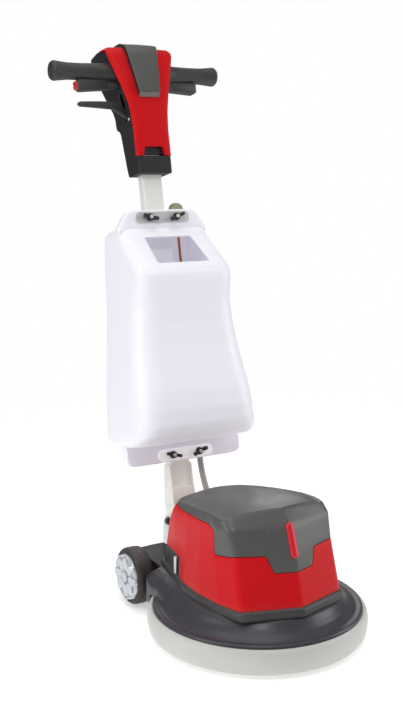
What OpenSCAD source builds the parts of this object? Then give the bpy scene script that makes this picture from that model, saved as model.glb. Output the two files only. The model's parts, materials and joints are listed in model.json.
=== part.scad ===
// Rotary floor machine: a round deck with a bumper ring and a floor pad turned
// through a planetary gearbox by an upright motor under a two-part hood, two
// transport wheels, and a tilting pole that carries the solution tank and the
// operator's head with its grips, trigger bar and tilt lever.
// Origin: on the floor, on the axis of the pad. +Z up, the operator stands at +Y.

/* [Deck] */
// Outer diameter of the bumper ring
ring_d = 460; // [456:1:470]
// Outer diameter of the cast deck's rim
deck_d = 438; // [437:0.5:438]
// Height of the deck's flat top above the floor
deck_z = 100; // [99:0.5:100]
// Diameter of the floor pad
pad_d = 431.8; // [400:0.1:432]
// Thickness of the floor pad
pad_h = 25; // [20:1:25]

/* [Wheels] */
// Wheel diameter
wheel_d = 126; // [116:1:128]
// Distance between the wheels' outer faces
track = 352; // [348:1:360]
// Axle distance behind the pad's axis
axle_y = 252; // [250:1:254]
// Axle height above the floor
axle_z = 68; // [66:1:70]
// Axle radius
axle_r = 8; // [7:0.5:8]

/* [Pole] */
// Rest tilt of the pole, from upright
tilt = 11.3; // [6:0.1:14]
// Pivot distance behind the pad's axis
pivot_y = 311; // [310:1:314]
// Pivot height above the floor
pivot_z = 95; // [94:1:98]
// Width of the pole's rectangular tube
pole_w = 50; // [49:0.5:50]
// Depth of the pole's rectangular tube
pole_t = 26; // [25:0.5:26]
// Length along the pole from the pivot to its top end
pole_top = 905; // [890:1:915]

/* [Gear train] */
// Gear module
tooth_module = 1.5; // [1.5:0.1:1.5]
// Teeth on the motor pinion
z_sun = 12; // [12:12:12]
// Teeth on each planet
z_planet = 36; // [36:12:36]
// Flank clearance on each side of a tooth
flank = 0.09; // [0.05:0.01:0.12]

/* [Handle] */
// Distance between the outer ends of the grips
bar_w = 430; // [410:1:440]
// Grip diameter at mid length
grip_d = 39; // [38:0.5:41]
// Height of the handlebar along the pole
bar_z = 1101; // [1100:0.5:1102]
// Handlebar's distance behind the pole's centre plane
bar_y = 21; // [20:0.5:22]

/* [Water valve] */
// Valve axis to the right of the pole's centre plane
valve_x = 58; // [58:0.5:60]
// Valve axis behind the pole's centre plane
valve_y = -4; // [-5:0.5:-3]

/* [Hidden] */
$fn = 72;
ring_r = ring_d/2;
deck_r = deck_d/2;
pad_r = pad_d/2;
wheel_r = wheel_d/2;
z_ring = z_sun + 2*z_planet;
gear_centre = tooth_module*(z_sun + z_planet)/2;

// Places and radii that several pieces share
bolt_r = 4;
case_bolt_circle = 97;
flange_r = 105;
pivot_r = 6;
motor_shaft_r = 8.5;
motor_bearing_r = 20;
output_shaft_r = 15;
output_bearing_r = 31;
ring_gear_r = 71;
stator_r = 82;
planet_pin_r = 6;
lug_circle = 40;
hose_x = 72;
hose_y = 230;
cable_x = 14;
// In the pole's frame
yoke_bore_x = pole_w/2 + 0.02;
yoke_bore_y = pole_t/2 + 0.02;
clamp_heights = [213, 755.5];
clamp_bolt_x = 34;
trigger_z = 1066;
trigger_r = 4;
lever_x = -36;
lever_z = 993;
lever_pin_r = 3;
valve_rod_r = 3;

// ---------- helpers ----------
// Moves from the pole's own frame (origin at the pivot, z along the pole) to the floor frame
module on_pole() translate([0, pivot_y, pivot_z]) rotate([-tilt, 0, 0]) children();
// The same move for a point
function from_pole(p) = [
    p[0],
    pivot_y + p[1]*cos(tilt) + p[2]*sin(tilt),
    pivot_z - p[1]*sin(tilt) + p[2]*cos(tilt)
];
// Extrudes a (y, z) outline along X
module along_x(from, to)
    translate([from, 0, 0]) rotate([90, 0, 90]) linear_extrude(height = to - from) children();
// Extrudes an (x, z) outline along Y
module along_y(from, to)
    translate([0, to, 0]) rotate([90, 0, 0]) linear_extrude(height = to - from) children();
// A round bar along X
module bar_x(from, to, r) translate([from, 0, 0]) rotate([0, 90, 0]) cylinder(h = to - from, r = r);
// Small round bars, along Z and along Y
module pin(h, r) cylinder(h = h, r = r, $fn = 32);
module pin_y(from, to, r) translate([0, to, 0]) rotate([90, 0, 0]) pin(h = to - from, r = r);
// Turns a profile (radius, height) round the X axis
module turn_x() rotate([0, 90, 0]) rotate_extrude() children();
// Repeats evenly round the Z axis
module around(count, start = 0) for (i = [0:count - 1]) rotate(start + 360*i/count) children();
module both_sides() for (side = [0, 1]) mirror([side, 0, 0]) children();
module at_case_bolts(z) around(6, 30) translate([case_bolt_circle, 0, z]) children();
module at_bracket_bolts() for (x = [-22, 22], z = [64, 92]) translate([x, 0, z]) children();
module at_planets(z) around(3) translate([gear_centre, 0, z]) children();
module at_lugs(z) around(3, 60) translate([lug_circle, 0, z]) children();
module at_clamp_bolts()
    for (z = clamp_heights, x = [-clamp_bolt_x, clamp_bolt_x]) translate([x, 0, z]) children();
module at_handlebar() translate([0, bar_y, bar_z]) children();
module at_lever() translate([lever_x, 0, lever_z]) children();
module at_valve(z) translate([valve_x, valve_y, z]) children();
module rounded_rect(width, depth, r) {
    square([width - 2*r, depth], center = true);
    square([width, depth - 2*r], center = true);
    for (x = [-1, 1], y = [-1, 1]) translate([x*(width/2 - r), y*(depth/2 - r)]) circle(r = r);
}
// Both halves of a symmetric outline, given its right half in order
function mirrored(half) = concat(half, [for (i = [len(half) - 1:-1:0]) [-half[i][0], half[i][1]]]);
// Draws an outline in towards a point by two factors
function shrunk(points, centre, scale_x, scale_y) = [for (p = points)
    [centre[0] + (p[0] - centre[0])*scale_x, centre[1] + (p[1] - centre[1])*scale_y]];
// A bent round bar through a list of points, with slightly larger balls at its bends
module bent(points, r, ball_extra = 0.08) for (i = [0:len(points) - 2]) {
    span = points[i + 1] - points[i];
    length = norm(span);
    translate(points[i]) rotate([0, acos(span[2]/length), atan2(span[1], span[0])])
        pin(h = length, r = r);
    if (i > 0) translate(points[i]) sphere(r = r + ball_extra, $fn = 32);
}
// A Bezier curve from a to d with the handles b and c
function bezier(a, b, c, d, steps) = [for (i = [0:steps]) let(t = i/steps)
    pow(1-t, 3)*a + 3*t*pow(1-t, 2)*b + 3*t*t*(1-t)*c + t*t*t*d];

// ---------- gear outlines ----------
pressure_angle = 20;
addendum = 1.2;
function pitch_r(teeth) = tooth_module*teeth/2;
function polar(radius, angle) = [radius*cos(angle), radius*sin(angle)];
function turned(points, angle) = [for (p = points)
    [p[0]*cos(angle) - p[1]*sin(angle), p[0]*sin(angle) + p[1]*cos(angle)]];
// Involute function, in degrees
function involute(angle) = tan(angle)*180/PI - angle;
// Half angle of a tooth at a radius; slack thins each flank
function half_tooth(teeth, radius, slack) =
    let(base_r = pitch_r(teeth)*cos(pressure_angle))
    90/teeth + involute(pressure_angle)
        - involute(acos(min(1, base_r/max(radius, base_r)))) - slack*180/PI/pitch_r(teeth);
function gear_points(teeth, radii, slack) =
    let(side = [for (r = radii) [r, half_tooth(teeth, r, slack)]])
    [for (i = [0:teeth - 1]) each concat(
        [for (s = side) polar(s[0], 360*i/teeth - s[1])],
        [for (k = [len(side) - 1:-1:0]) polar(side[k][0], 360*i/teeth + side[k][1])])];
// Bore of an internal gear: an external gear with grown teeth, turned half a pitch
function space_points(teeth, radii, slack) = turned(gear_points(teeth, radii, -slack), 180/teeth);

// ---------- deck ----------
deck_wall = 6;
// The crown (radius, height) from its flat top to its bead
crown = [[158, 98], [168, 92.5], [176, 83.5], [185, 75.5], [196, 69], [204, 66], [209, 66.8],
    [213.5, 67.8]];
module dome(inset) rotate_extrude($fn = 120) polygon(concat(
    [[0, deck_z - inset], [146 - inset*0.4, deck_z - inset]],
    [for (p = crown) [p[0] - inset*0.8, p[1] - inset*0.72]],
    [[deck_r - 1.5 - inset*0.8, 66 - inset], [deck_r - inset*0.8, 62 - inset],
    [deck_r - inset*0.8, 50 - inset*0.3], [0, 50 - inset*0.3]]));
// The tail's plan, its guards standing in front of the wheels
module tail_plan(inset) polygon(mirrored([
    [0, 60 + inset*1.1], [166 - inset, 97 + inset*0.9], [174 - inset, 118], [176 - inset, 150],
    [173 - inset, 174 - inset*0.5], [165 - inset*0.8, 186 - inset], [132 - inset, 186 - inset],
    [132 - inset, 300], [122 - inset, 318 - inset], [56 + inset, 322 - inset],
    [52 + inset, 318 - inset], [52 + inset, 279 - inset], [0, 279 - inset]]));
module tail(inset) intersection() {
    translate([0, 0, 38]) linear_extrude(height = 66 - inset) tail_plan(inset);
    along_y(0, 400) polygon(mirrored([
        [178 - inset, 30], [178 - inset, 76 - inset*0.5], [170 - inset, 90 - inset*0.8],
        [156 - inset, 99 - inset], [138 - inset, 104 - inset]]));
}
// The hollow under the deck, less the axle's ribs and the hose bosses
module deck_hollow() {
    translate([0, 0, -1]) dome(deck_wall);
    difference() {
        translate([0, 0, -0.5]) tail(deck_wall);
        for (x = [-132, -68, 60, 124]) translate([x, axle_y - 15, 40]) cube([8, 30, 70]);
        for (x = [-hose_x, hose_x]) translate([x, hose_y, 40]) cylinder(r = 13, h = 70);
    }
}
module deck() color([0.3, 0.3, 0.33]) difference() {
    union() {
        difference() {
            union() {
                dome(0);
                tail(0);
            }
            deck_hollow();
        }
        at_case_bolts(84) cylinder(r = 9, h = 15);
    }
    // Gearbox opening, flange seat and bolt holes
    translate([0, 0, 40]) cylinder(r = 78, h = 70);
    translate([0, 0, deck_z]) cylinder(r = flange_r + 0.3, h = 10);
    at_case_bolts(86) cylinder(r = bolt_r + 0.05, h = 20);
    translate([0, axle_y, axle_z]) bar_x(-140, 140, axle_r + 0.02);
    // Space for the bumper ring and the pad
    rotate_extrude($fn = 120) polygon([
        [0, 30], [ring_r + 0.5, 30], [ring_r + 0.5, 61.6], [deck_r + 0.05, 61.6],
        [deck_r + 0.05, 49.9], [0, 49.9]]);
    translate([hose_x, hose_y, 40]) cylinder(r = 7.1, h = 70);
    at_bracket_bolts() pin_y(260, 290, bolt_r + 0.05);
}
module bumper_ring() color([0.78, 0.78, 0.76]) rotate_extrude($fn = 120) polygon([
    [deck_r + 0.1, 61.5], [deck_r + 3.5, 61.5], [ring_r - 3.5, 57], [ring_r - 0.8, 49],
    [ring_r, 41], [ring_r - 0.5, 31], [ring_r - 2.5, 21], [ring_r - 6, 13], [ring_r - 9, 9.5],
    [deck_r - 0.8, 10.5], [deck_r - 0.8, 49.6], [deck_r + 0.1, 49.8]]);

// ---------- bracket, axle and wheels ----------
// Cheek of the bracket (y, z)
bracket_cheek = [[283, 54], [300, 48], [345, 48], [348, 60], [348, 140], [338, 160], [318, 166],
    [300, 160], [290, 130], [283, 103]];
module handle_bracket() color([0.62, 0.63, 0.62]) difference() {
    union() {
        translate([-50, 279.05, 54]) cube([100, 5, 49]);
        for (x = [-39, 33]) along_x(x, x + 6) polygon(bracket_cheek);
        translate([-33, 300, 48]) cube([66, 45, 5]);
        // Middle web round the pivot
        intersection() {
            translate([0, pivot_y, pivot_z]) bar_x(-7, 7, 45);
            translate([-10, 283, 86]) cube([20, 80, 60]);
        }
        translate([-7, 283, 60]) cube([14, 7, 40]);
    }
    translate([0, pivot_y, pivot_z]) bar_x(-50, 50, pivot_r + 0.03);
    at_bracket_bolts() pin_y(270, 300, bolt_r + 0.1);
}
module bracket_bolts() color([0.75, 0.75, 0.75]) at_bracket_bolts() {
    pin_y(268.1, 284.11, bolt_r);
    translate([0, 284.1, 0]) rotate([-90, 0, 0]) cylinder(r = 7, h = 4.5, $fn = 6);
}
module pivot_bolt() color([0.75, 0.75, 0.75]) translate([0, pivot_y, pivot_z]) {
    bar_x(-39.1, 46, pivot_r);
    // Hexagonal head and nut
    bar_x(-44, -39.1, 10.5, $fn = 6);
    difference() {
        bar_x(39.1, 44.6, 10.5, $fn = 6);
        bar_x(38, 46, pivot_r + 0.03);
    }
}
module axle() color([0.7, 0.7, 0.72]) translate([0, axle_y, axle_z]) difference() {
    union() {
        bar_x(-track/2 + 9, track/2 - 9, axle_r);
        for (side = [-1, 1]) translate([side*134.6 - 1.2, 0, 0]) bar_x(0, 2.4, 12);
    }
    // A groove near each end
    for (side = [-1, 1]) translate([side*(track/2 - 11.5) - 0.6, 0, 0]) difference() {
        bar_x(0, 1.2, axle_r + 1);
        bar_x(-1, 3, axle_r - 0.6);
    }
}
module tyre() translate([0, axle_y, axle_z]) turn_x() polygon([
    [51.55, 140], [51.55, 174], [53, 175.5], [57, 176], [wheel_r - 2.5, 173], [wheel_r, 168],
    [wheel_r, 146], [wheel_r - 2.5, 141], [57, 138], [53, 138.5]]);
module wheel_hub() translate([0, axle_y, axle_z]) difference() {
    turn_x() polygon([
        [axle_r + 0.05, 137], [16, 137], [16, 150], [46, 154], [47, 141], [51.5, 141],
        [51.5, 175.5], [50, 179], [45, 180], [32, 177.5], [22, 178.5], [15, 181], [0, 182],
        [0, 168.5], [axle_r + 0.05, 168.5]]);
    for (i = [0:7]) rotate([45*i, 0, 0]) translate([0, 0, 35]) bar_x(177, 184, 8);
}
module tyre_left() color([0.16, 0.14, 0.14]) mirror([1, 0, 0]) tyre();
module tyre_right() color([0.16, 0.14, 0.14]) tyre();
module wheel_hub_left() color([0.8, 0.81, 0.82]) mirror([1, 0, 0]) wheel_hub();
module wheel_hub_right() color([0.8, 0.81, 0.82]) wheel_hub();

// ---------- hood ----------
// Right half outlines of the hood at rising heights: [z, [[x, y], ...]]
hood_levels = [
    [114, [[0, -164], [120, -127], [136, -70], [144.5, 0], [142.5, 60], [128, 123], [117, 194],
        [106, 210], [0, 214.5]]],
    [215, [[0, -136], [117, -99], [129, -40], [132, 10], [130, 70], [122, 140], [115, 171],
        [101, 188], [0, 194]]],
    [248, [[0, -124], [118, -88], [127, -42], [128, 10], [125, 70], [114, 134], [105, 157],
        [90, 171], [0, 182]]],
    [264, [[0, -118], [118, -82], [125, -42], [126, 10], [120, 66], [106, 118], [70, 150],
        [0, 175]]],
    [281, [[0, -98.5], [114, -66], [119, -30], [116, 5], [98, 50], [58, 96], [0, 124]]],
    [293, [[0, -84], [60, -62], [74, -12], [48, 22], [0, 38]]]];
// Right half plans (x, y) of the skirt
skirt_outside = [[0, -172], [123, -136], [141, -74], [150, 0], [148, 62], [134, 126], [122, 200],
    [110, 217], [0, 221]];
skirt_inside = [[0, -155], [111, -122], [129, -68], [137, 0], [135, 60], [120, 118], [109, 188],
    [100, 203], [0, 207]];
module hood_solid(inset) hull() for (level = hood_levels)
    translate([0, 0, level[0] - (level[0] > 200 ? inset*1.1 : 0)]) linear_extrude(height = 0.01)
        polygon(mirrored(shrunk(level[1], [0, 30], 1 - inset/125, 1 - inset/165)));
module hood_shell() difference() {
    hood_solid(0);
    translate([0, 0, -0.5]) hood_solid(3.5);
}
// The space above the seam between the hood's two shells
module above_seam(drop) union() {
    along_x(-200, 200) polygon([
        [-60, 207 - drop], [-42 + drop, 207 - drop], [-38 + drop, 255 - drop],
        [-18, 263 - drop], [240, 246 - drop], [240, 400], [-60, 400]]);
    along_y(-220, -59.9) polygon(mirrored([
        [0, 180 - drop], [45 + drop*0.7, 181 - drop], [57 + drop*0.7, 214 - drop],
        [118, 217 - drop], [200, 217 - drop], [200, 400]]));
}
// An upright slot through the hood's front
module insert_cut(grow)
    translate([0, -125.5, 241]) rotate([-20.5, 0, 0]) rotate([90, 0, 0]) translate([0, 0, -10])
        linear_extrude(height = 30) union() {
            square([14 + 2*grow, 46], center = true);
            for (end = [-1, 1]) translate([0, end*23]) circle(r = 7 + grow, $fn = 32);
        }
module cable_hole() translate([cable_x, 0, 150]) pin_y(170, 230, 6);
module hood_lower() color([0.82, 0.13, 0.13]) difference() {
    hood_shell();
    above_seam(0.6);
    translate([-200, 100, 80]) cube([400, 200, 75]);
    cable_hole();
}
module hood_top() color([0.36, 0.36, 0.35]) intersection() {
    difference() {
        hood_shell();
        insert_cut(0.15);
        for (x = [-60:20:60]) translate([x - 4, 120, 262]) cube([8, 60, 9]);
    }
    above_seam(0);
}
module hood_insert() color([0.85, 0.12, 0.13]) intersection() {
    difference() {
        hood_solid(-1.2);
        hood_solid(3.3);
    }
    insert_cut(0);
    above_seam(-1);
}
// Foot of the hood, carried up at the back as an apron
module hood_skirt() color([0.22, 0.22, 0.23]) difference() {
    union() {
        difference() {
            translate([0, 0, 87]) linear_extrude(height = 26.9) polygon(mirrored(skirt_outside));
            translate([0, 0, 80]) linear_extrude(height = 40) polygon(mirrored(skirt_inside));
        }
        intersection() {
            hood_shell();
            translate([-200, 100.6, 113.5]) cube([400, 200, 40.9]);
        }
        // Ledge that joins the apron to the foot
        intersection() {
            translate([0, 0, 109]) linear_extrude(height = 5.6) polygon(mirrored([
                [0, 190], [100, 190], [115, 100.6], [160, 100.6], [160, 230], [0, 230]]));
            translate([0, 0, 80]) linear_extrude(height = 40) polygon(mirrored(skirt_outside));
        }
    }
    cable_hole();
    // Clearance over the deck's crown and tail
    rotate_extrude($fn = 120) polygon([
        [0, 70], [0, deck_z + 0.05], [146.3, deck_z + 0.05], [158.3, 98.1], [168.4, 92.7],
        [176.5, 83.7], [185.4, 75.7], [190, 72], [190, 70]]);
    linear_extrude(height = 104.05) polygon(mirrored([
        [0, 59.7], [166.4, 96.6], [174.5, 117.8], [176.5, 150], [173.5, 174.5], [165.3, 190],
        [132, 190], [132, 300], [0, 300]]));
}
module hood_clips() color([0.78, 0.78, 0.76]) both_sides() difference() {
    translate([-136, 107, 115]) cube([14, 9, 37]);
    translate([0, 0, 0.02]) hood_solid(-0.15);
}

// ---------- gearbox and motor ----------
// Two races and a recessed web between them
module bearing(bore_r, race_in_r, race_out_r, outer_r, width, recess) rotate_extrude() polygon([
    [bore_r, 0], [race_in_r, 0], [race_in_r, recess], [race_out_r, recess], [race_out_r, 0],
    [outer_r, 0], [outer_r, width], [race_out_r, width], [race_out_r, width - recess],
    [race_in_r, width - recess], [race_in_r, width], [bore_r, width]]);
module gearbox_housing() color([0.55, 0.56, 0.57]) difference() {
    union() {
        translate([0, 0, 54]) cylinder(r = 77, h = 52);
        translate([0, 0, deck_z]) cylinder(r = flange_r, h = 6);
    }
    // Gear chamber, round a raised bearing seat
    difference() {
        translate([0, 0, 62]) cylinder(r = ring_gear_r + 0.03, h = 60);
        translate([0, 0, 50]) cylinder(r = 37, h = 28);
    }
    translate([0, 0, 62]) cylinder(r = output_bearing_r + 0.02, h = 60);
    translate([0, 0, 50]) cylinder(r = 23.52, h = 20);
    at_case_bolts(90) pin(h = 20, r = bolt_r + 0.1);
}
module gearbox_bolts() color([0.72, 0.72, 0.72]) at_case_bolts(0) {
    translate([0, 0, 90]) pin(h = 24.06, r = bolt_r);
    translate([0, 0, 114.05]) cylinder(r = 7, h = 5, $fn = 6);
}
module ring_gear() color([0.5, 0.5, 0.52]) difference() {
    pitch = pitch_r(z_ring);
    translate([0, 0, 83]) cylinder(r = ring_gear_r, h = 22.9);
    translate([0, 0, 80]) linear_extrude(height = 30)
        polygon(space_points(z_ring, [pitch - addendum, pitch, pitch + 1.5], flank));
}
module output_bearing() color([0.75, 0.75, 0.77]) translate([0, 0, 62])
    bearing(bore_r = output_shaft_r + 0.04, race_in_r = 20, race_out_r = 26,
        outer_r = output_bearing_r, width = 16, recess = 1);
module shaft_seal() color([0.15, 0.15, 0.15]) translate([0, 0, 54.5]) rotate_extrude() polygon([
    [output_shaft_r + 0.06, 2.5], [16.5, 0], [23.5, 0], [23.5, 7], [21.5, 7], [21.5, 2],
    [17, 2], [output_shaft_r + 0.06, 4.5]]);
module motor_flange() color([0.6, 0.61, 0.62]) difference() {
    union() {
        translate([0, 0, 106]) cylinder(r = flange_r, h = 8);
        translate([0, 0, 106]) cylinder(r = 26, h = 14);
    }
    translate([0, 0, 108]) cylinder(r = motor_bearing_r + 0.02, h = 20);
    translate([0, 0, 100]) cylinder(r = 12, h = 20);
    at_case_bolts(100) pin(h = 20, r = bolt_r + 0.1);
}
module motor_housing() color([0.5, 0.51, 0.53]) difference() {
    union() {
        translate([0, 0, 114.02]) cylinder(r = 86, h = 121.96);
        around(16) translate([82, -1.5, 122]) cube([6.5, 3, 106]);
    }
    translate([0, 0, 110]) cylinder(r = stator_r + 0.02, h = 140);
}
module motor_end_bell() color([0.6, 0.61, 0.62]) difference() {
    union() {
        translate([0, 0, 236]) cylinder(r = 90, h = 6);
        translate([0, 0, 224]) cylinder(r = 26, h = 14);
    }
    translate([0, 0, 220]) cylinder(r = motor_bearing_r + 0.02, h = 18);
    translate([0, 0, 220]) cylinder(r = 9.2, h = 30);
    around(6) translate([60, 0, 230]) cylinder(r = 12, h = 20);
}
module motor_bearings() color([0.75, 0.75, 0.77]) for (z = [108.02, 225.9]) translate([0, 0, z])
    bearing(bore_r = motor_shaft_r + 0.04, race_in_r = 12, race_out_r = 16.5,
        outer_r = motor_bearing_r, width = 12, recess = 0.8);
module stator_core() color([0.4, 0.4, 0.42]) difference() {
    translate([0, 0, 130]) cylinder(r = stator_r, h = 72);
    translate([0, 0, 120]) cylinder(r = 46, h = 100);
    around(24) translate([44, -1.2, 120]) cube([8, 2.4, 100]);
}
module stator_windings() color([0.72, 0.42, 0.2]) for (z = [117.5, 202.05]) translate([0, 0, z])
    rotate_extrude() polygon([[52, 0], [72, 0], [76, 3], [76, 12.4], [50, 12.4], [50, 3]]);
module capacitors() color([0.75, 0.76, 0.78]) for (x = [-46, 46]) translate([x, 121, 104.2]) {
    cylinder(r = 22, h = 92);
    translate([0, 0, 91.9]) cylinder(r = 8, h = 5);
}
module rotor_core() color([0.45, 0.45, 0.47]) difference() {
    union() {
        translate([0, 0, 128]) cylinder(r = 45.4, h = 76);
        for (z = [122, 204]) translate([0, 0, z]) cylinder(r = 42, h = 6);
    }
    translate([0, 0, 110]) cylinder(r = motor_shaft_r + 0.01, h = 110);
}
// The sun pinion is cut on the shaft's lower end
module motor_shaft() color([0.68, 0.68, 0.7]) union() {
    pitch = pitch_r(z_sun);
    translate([0, 0, 104]) cylinder(r = 7, h = 4.5);
    translate([0, 0, 108.4]) cylinder(r = motor_shaft_r, h = 156);
    translate([0, 0, 86]) linear_extrude(height = 19)
        polygon(gear_points(z_sun, [7.5, 8.5, pitch, pitch + addendum], flank));
}
module cooling_fan() color([0.2, 0.22, 0.25]) difference() {
    union() {
        translate([0, 0, 246]) cylinder(r = 78, h = 2.5);
        translate([0, 0, 246]) cylinder(r = 16, h = 17);
        around(9) translate([15, -1.25, 248]) cube([61, 2.5, 14]);
    }
    translate([0, 0, 240]) cylinder(r = motor_shaft_r + 0.02, h = 40);
}
module planet_carrier() color([0.58, 0.58, 0.6]) difference() {
    union() {
        translate([0, 0, 79]) cylinder(r = 45, h = 6);
        translate([0, 0, 47]) cylinder(r = output_shaft_r, h = 33);
        translate([0, 0, 78.2]) cylinder(r = 18, h = 1);
    }
    at_planets(70) cylinder(r = planet_pin_r + 0.01, h = 20);
    translate([0, 0, 40]) cylinder(r = bolt_r + 0.05, h = 30);
}
module planet_pins() color([0.78, 0.78, 0.8]) at_planets(79.1) cylinder(r = planet_pin_r, h = 26);
// Turned half a pitch so that its spaces meet the pinion's teeth
module planet(i) color([0.62, 0.6, 0.55])
    rotate(120*i) translate([gear_centre, 0, 86.2]) difference() {
        pitch = pitch_r(z_planet);
        linear_extrude(height = 17) polygon(turned(
            gear_points(z_planet, [25.5, 26.2, pitch, pitch + addendum], flank), 180/z_planet));
        translate([0, 0, -1]) cylinder(r = planet_pin_r + 0.05, h = 20);
        around(6) translate([16, 0, -1]) pin(h = 20, r = 4);
    }
module planet_gear_1() planet(0);
module planet_gear_2() planet(1);
module planet_gear_3() planet(2);
// Plate with three drive lugs, screwed up into the output shaft
module drive_flange() color([0.6, 0.6, 0.62]) {
    difference() {
        union() {
            translate([0, 0, 41.2]) cylinder(r = 60, h = 5.75);
            at_lugs(34) cylinder(r = 9, h = 8);
        }
        translate([0, 0, 30]) cylinder(r = bolt_r + 0.05, h = 30);
        around(3) translate([lug_circle, 0, 30]) cylinder(r = 8, h = 30);
    }
    translate([0, 0, 36]) cylinder(r = 8, h = 5.15, $fn = 6);
    translate([0, 0, 41]) pin(h = 22, r = bolt_r);
}
module pad_driver() color([0.85, 0.72, 0.2]) difference() {
    translate([0, 0, pad_h + 0.05]) cylinder(r = 205, h = 16);
    at_lugs(pad_h + 6) cylinder(r = 9.3, h = 20);
    translate([0, 0, pad_h - 1]) cylinder(r = 28, h = 30);
    // Pockets between the hub, the rim and eight ribs
    difference() {
        translate([0, 0, pad_h + 6]) cylinder(r = 195, h = 20);
        translate([0, 0, pad_h]) cylinder(r = 70, h = 30);
        around(8) translate([60, -4, pad_h]) cube([145, 8, 30]);
    }
}
// The pad's centre knock-out is left in, scored by a shallow groove on its upper side
module floor_pad() color([0.75, 0.2, 0.18]) difference() {
    cylinder(r = pad_r, h = pad_h, $fn = 120);
    translate([0, 0, pad_h - 4]) difference() {
        cylinder(r = 41.5, h = 10);
        translate([0, 0, -1]) cylinder(r = 39.5, h = 12);
    }
}

// ---------- pole ----------
module pole() color([0.82, 0.82, 0.8]) on_pole() difference() {
    translate([0, 0, 62]) linear_extrude(height = pole_top - 62) difference() {
        rounded_rect(pole_w, pole_t, 4);
        rounded_rect(pole_w - 4, pole_t - 4, 2.5);
    }
    translate([cable_x, 0, 88]) pin_y(-30, 0, 6.5);
}
module pole_yoke() color([0.84, 0.84, 0.82]) on_pole() difference() {
    union() {
        for (x = [-29, yoke_bore_x]) along_x(x, x + 29 - yoke_bore_x) union() {
            circle(r = 18);
            polygon([
                [-16, 6], [18, -3], [28, 40], [30, 100], [22, 140], [15, 184], [12, 187],
                [-10, 187], [-14, 178], [-17, 120]]);
        }
        // Collar round the pole
        difference() {
            translate([-28, -17, 106]) cube([56, 34, 26]);
            translate([-yoke_bore_x, -yoke_bore_y, 100])
                cube([2*yoke_bore_x, 2*yoke_bore_y, 40]);
        }
        translate([-28, -12, 54]) cube([56, 24, 7.9]);
    }
    bar_x(-50, 50, pivot_r + 0.05);
    for (p = [[8, 154], [6, 144], [4, 90]]) translate([0, p[0], p[1]]) bar_x(-40, 40, 2.5);
    translate([0, 0, 50]) pin(h = 20, r = 5.05);
}
module lever_pin() color([0.8, 0.8, 0.8]) on_pole() at_lever() {
    pin_y(-27, 61, lever_pin_r);
    pin_y(60.2, 63.2, 5.5);
}
module lock_rod() color([0.7, 0.7, 0.72]) on_pole() union() {
    translate([0, 0, 45.3]) pin(h = 2.4, r = 7);
    translate([0, 0, 47]) pin(h = 60, r = 5);
    translate([0, 0, 106]) cylinder(r = 2, h = 850, $fn = 24);
}

// ---------- head ----------
// Side outline of the head (y, z), and its right half seen along Y (x, z)
head_side = [[-35, 858], [24, 858], [30, 880], [46, 968], [60, 975], [60, 1005], [80, 1045],
    [94, 1080], [103, 1120], [100, 1152], [60, 1158], [20, 1152], [-4, 1144], [-8, 1136],
    [-22, 1072], [-27.5, 1020], [-28, 898.6], [-35, 898.6]];
head_half = [[42, 858], [43, 960], [48, 1021], [58, 1070], [74, 1138], [76, 1160]];
// Side outlines (y, z) of the cover and of the visor on it
cover_side = [[-36, 899], [-36, 1021], [-30, 1071], [-15.5, 1138], [-9, 1152], [18, 1161.5],
    [60, 1166], [100, 1161], [100, 1152.1], [60, 1158.1], [20, 1152.1], [-4.05, 1144.1],
    [-8.1, 1136], [-22.1, 1072], [-27.6, 1020], [-28.1, 899]];
visor_side = [[-36.05, 1021], [-43, 1037], [-38, 1071], [-24, 1138], [-17, 1156], [14, 1168.5],
    [60, 1172], [76, 1169], [76, 1164.2], [60, 1166.1], [18, 1161.6], [-9.05, 1152.05],
    [-15.6, 1138], [-30.1, 1071], [-36.1, 1021.2]];
module head_solid() intersection() {
    along_x(-90, 90) polygon(head_side);
    along_y(-60, 140) polygon(mirrored(head_half));
}
module head_hollow() intersection() {
    along_x(-90, 90) polygon(shrunk(head_side, [14, 1010], 0.93, 0.975));
    along_y(-60, 140) polygon(shrunk(mirrored(head_half), [0, 1010], 0.94, 0.978));
}
module head_housing() color([0.16, 0.16, 0.17]) on_pole() difference() {
    union() {
        difference() {
            head_solid();
            head_hollow();
        }
        // Solid foot round the pole's end
        intersection() {
            head_solid();
            translate([-45, -40, 858]) cube([90, 80, 22]);
        }
    }
    translate([0, 0, 850]) linear_extrude(height = 62)
        square([pole_w + 0.06, pole_t + 0.06], center = true);
    at_handlebar() bar_x(-100, 100, 11.05);
    translate([0, 0, trigger_z]) bar_x(-100, 100, trigger_r + 0.05);
    // Slot and pin hole of the tilt lever
    translate([-60, -0.4, 985]) cube([36, 10.8, 62]);
    at_lever() pin_y(-50, 70, lever_pin_r + 0.03);
    for (z = [1110:8:1142]) translate([-30, 90, z]) cube([60, 20, 4]);
}
module head_cover() color([0.83, 0.14, 0.15]) on_pole() difference() {
    intersection() {
        along_x(-90, 90) polygon(cover_side);
        along_y(-60, 140) polygon(mirrored([
            [44, 899], [44, 959], [50, 1021], [63, 1070], [82, 1138], [80, 1170]]));
    }
    along_y(-60, 0) polygon(mirrored([[25, 890], [25, 900], [20, 917]]));
    along_y(40, 140) polygon(mirrored([[38, 1100], [40, 1200]]));
}
module head_visor() color([0.38, 0.38, 0.38]) on_pole() intersection() {
    along_x(-90, 90) polygon(visor_side);
    along_y(-60, 140) polygon(mirrored([[25, 1034], [41, 1156], [36, 1180]]));
}
module handlebar_tube() color([0.7, 0.7, 0.72]) on_pole() at_handlebar() difference() {
    bar_x(-bar_w/2 + 8, bar_w/2 - 8, 11);
    bar_x(-bar_w/2, bar_w/2, 9);
}
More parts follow.
